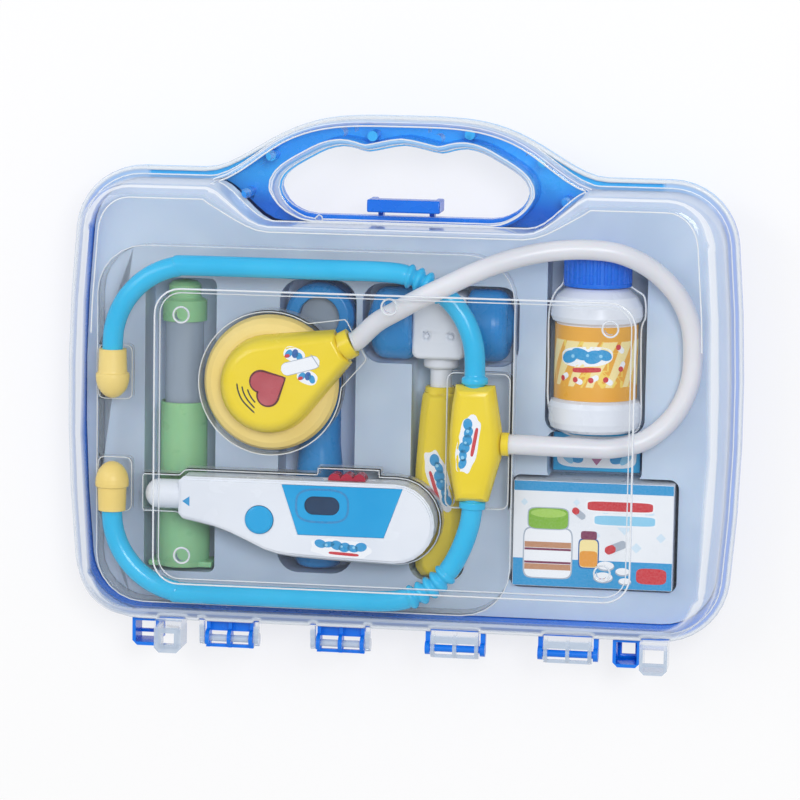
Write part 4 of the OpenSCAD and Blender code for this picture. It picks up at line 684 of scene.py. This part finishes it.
def make_ear_tube(name, node, start, run, way, turn):
    """A soft tube from its ear tip round a quarter circle, along the run and down into the yoke. Between the third
    and the fifth point of its turn the radius swells and narrows as beads: the sine's size to the power 0.7."""
    angle = math.pi - way * np.linspace(0, math.pi / 2, 9)
    bend = np.stack([TIP_X + BEND + BEND * np.cos(angle), run - way * BEND + BEND * np.sin(angle)], 1)
    mouth = YOKE[1] + way * YOKE_LENGTH / 2
    plan = np.vstack([[(TIP_X, start)], bend, turn, [(YOKE[0], mouth), (YOKE[0], mouth - way * YOKE_DEPTH)]])
    steps = 16
    line = spline(np.column_stack([plan, np.full(len(plan), TUBE_LEVEL)]), steps) * MM
    place = np.arange(len(line)) / steps - (1 + len(bend) + 2)
    bead = np.abs(np.sin(np.pi * np.clip(place / 2, 0, 1) * RIBS)) ** 0.7
    ribbed = (place > 0) & (place < 2)
    radius = EAR_TUBE / 2 + np.where(ribbed, (RIB_OUT + RIB_IN) * bead - RIB_IN, 0)
    collar = np.abs(line[:, 1] - (mouth + way * COLLAR_OUT) * MM) < COLLAR_HALF * MM
    near = np.arange(len(line)) > len(line) * 0.8
    shape = tube(line, (radius + np.where(collar & near, COLLAR_RISE, 0)) * MM, 28)
    put_mesh(name, *shape, "case_base", finishes[node], (node,), "cyan_tube")


make_ear_tube("ear_tube_upper", "upper_ear_tube", 9, 49.5, 1, UPPER_TURN)
make_ear_tube("ear_tube_lower", "lower_ear_tube", -48.5, -87.2, -1, LOWER_TURN)
for name, node in (("stethoscope_cover", "chest_cover"), ("yoke_top", "yoke_front"), ("yoke_base", "yoke_back")):
    smoothed(name, node, "case_base", finishes[node], "yellow", 0.3)


# ---------- Thermometer, hammer, otoscope, syringe and cartons ----------

for node, slot, rounding in (
        ("thermometer_front", "white_plastic", 0.0), ("thermometer_back", "white_plastic", 0.3),
        ("display_panel", "sky_panel", 0.25), ("thermometer_probe", "white_plastic", 0.3),
        ("hammer_handle", "yellow", 0.5), ("hammer_block", "white_plastic", 1.2),
        ("otoscope_handle", "blue_trim", 0.6), ("otoscope_head", "blue_trim", 0.6),
        ("medicine_carton", "printed_card", 0.25), ("small_carton", "printed_card", 0.25)):
    smoothed("smooth_" + node, node, "case_base", finishes[node], slot, rounding)
smoothed("smooth_plunger_sleeve", "plunger_sleeve", "syringe_plunger", finishes["plunger_sleeve"], "green", 0.5)


# ---------- Polished rims of the clear pieces, pale as painted highlights ---

PANEL_MIDDLE, PANEL_SIZE, PANEL_CORNER = np.array([0.0, -18.95]), np.array([196.6, 122.5]), 11.0
BOSSES, BOSS_SIZE = [(-87.5, 31), (87.5, 31), (-86.5, -68.4), (86.5, -68.4), (-2, 37)], 6.4
SHOULDER_FROM = 22                      # the shoulder's inner line shows from this Y on, towards the handle


def round_box(middle, size, corner, steps=8):
    """A rectangle with round corners, counter-clockwise from the low right corner."""
    t = np.radians(np.linspace(-90, 0, steps + 1))
    quarter = np.stack([np.cos(t), np.sin(t)], 1) * corner + (size / 2 - corner) * (1, -1)
    half = np.vstack([quarter, quarter[::-1] * (1, -1)])
    return np.vstack([half, -half]) + middle


def put_rim(name, line, level, radius, body="lid", slot="clear_shell", closed=True):
    """A polished bead, pale as a painted highlight: a round tube along a line at a level, all in millimetres."""
    path = np.column_stack([line, np.full(len(line), level)]) * MM
    put_mesh(name, *tube(path, radius * MM, 10, closed), body, rim_painted_highlight, slot=slot)


def make_lid_rims():
    """Polished edges of the lid, as beads pale with painted highlights: along its flange, its wall's foot and its
    handle, along the raised panel's top and foot, a ring round each boss, and the shoulder's inner line on the
    handle's side."""
    flange = loops_at("lid_shell", FLANGE_TOP)
    put_rim("lid_flange_rim", inset(flange[0], 0.9), FLANGE_TOP - 0.75, 0.85)
    for number, line in enumerate(flange[1:3], 1):
        put_rim("lid_foot_line_%d" % number, line, FLANGE_TOP, 0.3)
    for number, line in enumerate(loops_at("lid_shell", HANDLE_TOP)[:2], 1):
        put_rim("lid_handle_line_%d" % number, line, HANDLE_TOP - 0.25, 0.35)
    face = loops_at("lid_shell", FACE)[0]
    face = np.roll(face, -int(np.argmin(face[:, 1])), 0)
    put_rim("lid_shoulder_line", face[face[:, 1] > SHOULDER_FROM], FACE - 0.25, 0.3, closed=False)
    for name, inwards, level, radius in (
            ("lid_panel_rim", 0.45, PANEL_TOP - 0.35, 0.35), ("lid_panel_foot", 2.2, FACE_UNDER, 0.25)):
        put_rim(name, round_box(PANEL_MIDDLE, PANEL_SIZE - 2 * inwards, PANEL_CORNER - inwards), level, radius)
    for number, boss in enumerate(BOSSES, 1):
        put_rim("lid_boss_rim_%d" % number, oval(boss, BOSS_SIZE, BOSS_SIZE, count=32), FACE_UNDER - 0.5, 0.42)


# the edge of the clear cover round the bottle, in pixels of the photograph
BOTTLE_RIM = [(549, 400), (549, 360), (549, 318), (551, 300), (556, 288), (563, 280), (567, 266), (577, 260),
              (612, 260), (623, 266), (627, 279), (636, 286), (644, 293), (645, 312), (641, 326), (641, 375),
              (641, 415), (634, 428), (616, 433), (575, 432), (557, 424)]


def make_sheet_rims():
    """Edges of the formed clear sheets, as beads pale with painted highlights: round the bottle's cover, and along the
    blister's tops.
    """
    line = seen_at(BOTTLE_RIM, TRAY_TOP)[::-1]
    line = spline(np.vstack([line, line[:1]]), 5)[:-1]
    put_rim("bottle_cover_rim", line, TRAY_TOP + 0.35, 0.4, "case_base", "clear_sheet")
    for number, loop in enumerate(loops_at("clear_blister", BLISTER_TOP)[:6], 1):
        put_rim("blister_rim_%d" % number, loop, BLISTER_TOP - 0.1, 0.24, "case_base", "clear_sheet")


make_lid_rims()
make_sheet_rims()


# ---------- Prints, stickers and the marks on the chestpiece ----------

# places of the chestpiece's marks, in pixels of the photograph
ARC_PIXELS = [[(234.2, 386.4), (235.6, 394.5), (240.4, 404.6), (252.6, 416.8)],
              [(239.4, 389.3), (241.2, 396.2), (245.4, 403.6), (252.6, 411.7)],
              [(245.1, 392.2), (246.8, 396.8), (249.4, 401.4), (253.1, 405.9)]]
STRIP_PIXELS = [(279.5, 372.6), (292, 369.4), (305, 366), (318.6, 362)]
STRIP_END = [(309.5, 355.6), (314, 362), (318.6, 369)]
SCRAPS = [((293, 356.5), 7.6, 4.6), ((306, 379), 7.2, 4.4)]    # middle in pixels, length and height in millimetres
HEART_MIDDLE, HEART_TURN = (-53.2, 1.3), 28.5


def heart_line():
    """Two round lobes and the tangents from them to the tip, from the notch round and back to it."""
    low, high = np.radians(np.linspace(129, 314, 18)), np.radians(np.linspace(46, 231, 18))
    lower = np.stack([np.cos(low), np.sin(low)], 1) * 4.5 + (-1.9, -3.2)
    upper = np.stack([np.cos(high), np.sin(high)], 1) * 4.5 + (-1.9, 3.2)
    tip = [(7.2, -0.6), (7.8, 0), (7.2, 0.6)]
    return turned(np.vstack([lower, tip, upper]), HEART_MIDDLE, HEART_TURN)


def make_chest_marks():
    """Three arcs beside the heart, the heart's dark rim, and a white strip between two scraps of a blue sticker."""
    arcs = [(stroke(spline(seen_at(pixels, CHEST_TOP), 8), 0.62), black_ink, 0) for pixels in ARC_PIXELS]
    heart = heart_line()
    layers = arcs + [(stroke(np.vstack([heart, heart[:1]]), 0.8, False), dark_rose_ink, 0)]
    for pixels, width, height in SCRAPS:
        middle = seen_at([pixels], CHEST_TOP)[0]
        layers.append(spot(middle, width + 1.4, height + 1.4, white_ink, 0, -20, 2.6))
        for i, (along, across, colour) in enumerate(
                ((-0.3, -0.1, sky_ink), (0.02, 0.12, deep_blue_ink), (0.3, -0.02, sky_ink))):
            at = turned([(along * width, across * height)], middle, -20)[0]
            layers.append(spot(at, width * 0.34, height * 0.8, colour, 1, 30 * i - 40, 2.2))
        at = turned([(-0.34 * width, -0.34 * height)], middle, -20)[0]
        layers.append(spot(at, width * 0.3, height * 0.32, red_ink, 2, 20))
    strip = spline(seen_at(STRIP_PIXELS, CHEST_TOP), 10)
    end = spline(seen_at(STRIP_END, CHEST_TOP), 4)
    layers += [(stroke(strip, 5.6), grey_ink, 2), (stroke(strip, 5.0), white_ink, 3), (stroke(end, 0.4), grey_ink, 4)]
    put_prints("chest_marks", laid_on("chest_cover"), layers, "yellow")


def make_stickers():
    """Stickers on the yoke, the hammer and the thermometer, a ring of painted shade in the recess round its window,
    and a small triangle.
    """
    triangle = film_of(patch([(-89.0, -47.9), (-85.9, -50.0), (-85.9, -45.8)]))
    # a deep sky ring of painted shade in the recess round the thermometer's window
    ring = oval((-30.4, -47.6), 21.6, 13.6, 0, 3.2, 60)
    recess = stroke(np.vstack([ring, ring[:1]]), 0.9, False)
    for name, node, layers, slot in (
            ("yoke_sticker", "yoke_front", sticker((29.9, -19.0), 80, 24.0, 8.6, 11), "yellow"),
            ("hammer_sticker", "hammer_handle", sticker((15.6, -38.0), -72, 26.0, 8.6, 12), "yellow"),
            ("window_recess_painted_shade", "display_panel", [(recess, painted_recess_shade_ink, 0)], "sky_panel"),
            ("thermometer_marks", "thermometer_front",
             sticker((-22.5, -65.0), -3, 25.0, 7.4, 13) + [(triangle, sky_ink, 0)], "white_plastic")):
        put_prints(name, laid_on(node), layers, slot)


BOTTLE_AXIS, LABEL_RADIUS = (79.1, 23.3), 17.07    # X and Z of the bottle's axis, and the label's outer face
LABEL_LOW, LABEL_HIGH, LABEL_SIDE = -0.9, 29.3, 26.0   # the label's ends along Y, and half of the arc that is printed


def round_bottle(plan, height):
    """Wraps plane points round the bottle: the first is the length of arc from the top, the second runs along it."""
    reach, angle = LABEL_RADIUS + height, plan[:, 0] / LABEL_RADIUS
    x, z = BOTTLE_AXIS
    return np.column_stack([x + reach * np.sin(angle), plan[:, 1], z + reach * np.cos(angle)])


def capsule(centre, length, width, degrees, first, second, level):
    """A two-coloured capsule: a round-ended stroke in the second colour and one over its first half."""
    ends = turned([(-length / 2, 0), (0, 0), (length / 2, 0)], centre, degrees)
    whole = spline(ends, 9)
    return [(stroke(whole, width), second, level), (stroke(whole[:10], width * 1.02), first, level + 1)]


def make_bottle_label():
    """Orange bands along both edges, slanted yellow and cream rays between them, a blue blob and scattered
    capsules."""
    low, high = LABEL_LOW + 5.6, LABEL_HIGH - 5.6
    layers = [band((-LABEL_SIDE, low), (LABEL_SIDE, high), yellow_ink, 0, 12)]
    low, high = low + 0.2, high - 0.2
    for foot in np.arange(-3, 4) * 8.0:
        ray = [(foot - 2.6, low), (foot + 0.2, low), (foot + 10.6, high), (foot + 4.4, high)]
        layers.append((film_of(patch(ray, 6)), cream_ink, 1))
    layers.append(spot((-3.0, 17.4), 23.0, 8.2, white_ink, 2, 4, 2.6))
    for x, y, width, height, turn in ((-10.0, 17.0, 8.0, 5.0, 20), (-5.0, 18.4, 8.4, 4.6, -14),
                                      (0.4, 17.4, 8.0, 5.4, 16), (4.8, 18.2, 6.6, 4.2, -20)):
        layers.append(spot((x, y), width, height, sky_ink, 3, turn))
    for x, y, size in ((-8.4, 17.4, 1.5), (-2.0, 18.0, 1.2), (3.4, 17.8, 1.4)):
        layers.append(spot((x, y), size, size, pale_sky_ink, 4))
    layers.append(spot((-2.4, 12.0), 12.0, 2.0, red_ink, 3, 3, 5))
    for x, y, turn in ((-12.6, 8.6, 35), (-6.0, 7.4, -20), (0.6, 8.4, 28), (6.6, 7.6, -32), (12.8, 13.4, 62),
                       (11.8, 20.6, -40)):
        layers += capsule((x, y), 4.6, 2.3, turn, red_ink, white_ink, 2)
    put_prints("bottle_label_print", round_bottle, layers, "orange_label")


# the low left corners of the cartons' printed faces, and how high these lie
CARTON_CORNER, CARTON_TOP = (47.0, -80.0), 28.82
SMALL_CORNER, SMALL_TOP = (61.5, -33.6), 14.32


def on_level(corner, level):
    """A place on a level face: plane points count from its low left corner."""
    return lambda plan, height: np.column_stack([plan + corner, level + height])


def make_carton_print():
    """Blue bands along both long edges, pale diamonds, a blank red badge, a jar, a vial, capsules and tablets."""
    layers = [band((0.2, 39.8), (65.8, 43.8), sky_ink, 0), band((0.2, 0.2), (65.8, 11.6), sky_ink, 0)]
    for u, v, size in ((38, 33, 5), (46, 26, 6.5), (56, 32, 4.6), (61, 22, 4), (34, 22, 4.2), (51, 17.5, 4.4),
                       (26, 35.5, 2.8), (4.5, 35, 3)):
        half = size / 2
        layers.append((film_of(patch([(u, v - half), (u + half, v), (u, v + half), (u - half, v)], 2)), haze_ink, 0))
    for middle, width, colour in (((44, 34.4), 27, red_ink), ((46, 28.6), 25, pale_sky_ink)):
        layers += [spot(middle, width + 1.6, 5.4, white_ink, 1, power=6), spot(middle, width, 3.9, colour, 2, power=6)]
    layers.append(spot((57.4, 5.9), 12.5, 6.6, red_ink, 1, power=4))
    jar, lid, vial = (14.5, 14.0), (14.5, 28.4), (31.4, 14.4)
    layers += [spot(jar, 20.6, 21.6, grey_ink, 1, power=7), spot(jar, 19.6, 20.6, white_ink, 2, power=7)]
    for low, high, colour, level in ((7.0, 18.6, tan_ink, 3), (9.4, 16.2, white_ink, 4), (9.6, 10.5, plum_ink, 5),
                                     (15.1, 16.0, plum_ink, 5)):
        layers.append(band((4.9, low), (24.1, high), colour, level))
    layers += [spot(lid, 17.2, 9.4, grey_ink, 3, power=5), spot(lid, 16.4, 8.6, green_ink, 4, power=5),
               spot((14.5, 30.6), 14.6, 3.6, pale_green_ink, 5),
               spot(vial, 8.6, 12.6, deep_blue_ink, 1, power=6), spot(vial, 7.6, 11.6, cream_ink, 2, power=6),
               spot((31.4, 12.2), 7.4, 6.6, orange_ink, 3, power=5),
               spot((31.4, 22.0), 6.6, 3.6, plum_ink, 2, power=5)]
    layers += capsule((42.5, 17.4), 9.6, 3.4, 24, red_ink, grey_ink, 2)
    layers += capsule((27.0, 31.0), 6.4, 2.7, -38, red_ink, grey_ink, 4)
    for u, v, width in ((38.5, 9.4, 7.4), (45.6, 7.2, 6.2), (37.6, 4.6, 8.2), (46.6, 3.2, 5.4)):
        layers += [spot((u, v), width, width * 0.56, grey_ink, 2),
                   spot((u, v + 0.35), width * 0.92, width * 0.46, white_ink, 3)]
    put_prints("medicine_carton_print", on_level(CARTON_CORNER, CARTON_TOP), layers, "printed_card")


def make_small_carton_print():
    """White leaf shapes each side of a rose diamond, on the blue card."""
    layers = [spot((18, 8), 33, 13, white_ink, 0, power=5)]
    for side in (-1, 1):
        layers += [spot((18 + side * 11, 8), 13, 6.4, sky_ink, 1, side * 38),
                   spot((18 + side * 12.4, 6), 7.5, 3.2, pale_sky_ink, 2, side * 50)]
    layers.append((film_of(patch([(18, 2.5), (23, 9), (18, 14), (13, 9)], 3)), rose_ink, 2))
    put_prints("small_carton_print", on_level(SMALL_CORNER, SMALL_TOP), layers, "printed_card")


make_chest_marks()
make_stickers()
make_bottle_label()
make_carton_print()
make_small_carton_print()


# ---------- Floor and light ----------

FLOOR_REACH, FLOOR_WHITE = 3.0, 0.72    # metres to each side, and the share of plain white in what the camera sees
WORLD_LIGHT = 0.55
LAMP_AIM = (0, 0, 0.03)


def make_stage():
    """A pale floor: what the camera and the mirrors see of it is mostly white, under the object's soft shadow."""
    material, tree = new_material("pale_painted_floor")
    gloss = add(tree, "MapRange", {"Value": noise(tree, 60, 3), "To Min": 0.62, "To Max": 0.7})["Result"]
    matt = add(tree, "BsdfPrincipled", {"Base Color": "#F6F6F8", "Roughness": gloss})[0]
    white = add(tree, "Emission", {"Color": "#FFFFFF", "Strength": 1.0})[0]
    path = add(tree, "LightPath")
    seen = add(tree, "Math", {0: path["Is Camera Ray"], 1: path["Is Glossy Ray"]}, operation="MAXIMUM")[0]
    share = add(tree, "Math", {0: seen, 1: FLOOR_WHITE}, operation="MULTIPLY")[0]
    finish_material(tree, add(tree, "MixShader", {0: share, 1: matt, 2: white})[0])
    corners = [(x * FLOOR_REACH, y * FLOOR_REACH, 0) for x, y in ((-1, -1), (1, -1), (1, 1), (-1, 1))]
    mesh = bpy.data.meshes.new("floor")
    mesh.from_pydata(corners, [], [(0, 1, 2, 3)])
    mesh.materials.append(material)
    floor = bpy.data.objects.new("floor", mesh)
    bpy.context.scene.collection.objects.link(floor)


def area_light(name, where, width, height, watts):
    data = bpy.data.lights.new(name, "AREA")
    data.shape, data.size, data.size_y, data.energy = "RECTANGLE", width, height, watts
    lamp = bpy.data.objects.new(name, data)
    bpy.context.scene.collection.objects.link(lamp)
    lamp.location = where
    lamp.rotation_euler = (Vector(LAMP_AIM) - Vector(where)).to_track_quat("-Z", "Y").to_euler()


def make_light():
    """An even white studio with two soft boxes, placed where the lid's flat faces don't mirror them to the camera."""
    world = bpy.data.worlds.new("studio")
    bpy.context.scene.world = world
    world.use_nodes = True
    sky = world.node_tree.nodes["Background"].inputs
    sky["Color"].default_value, sky["Strength"].default_value = linear("#FFFFFF"), WORLD_LIGHT
    area_light("soft_box_left", (-1.0, 0.7, 1.3), 0.5, 1.2, 7)
    area_light("soft_box_by_camera", (0.5, 0.5, 1.7), 0.6, 0.6, 13)


make_stage()
make_light()
bpy.context.scene.view_settings.view_transform = "Standard"
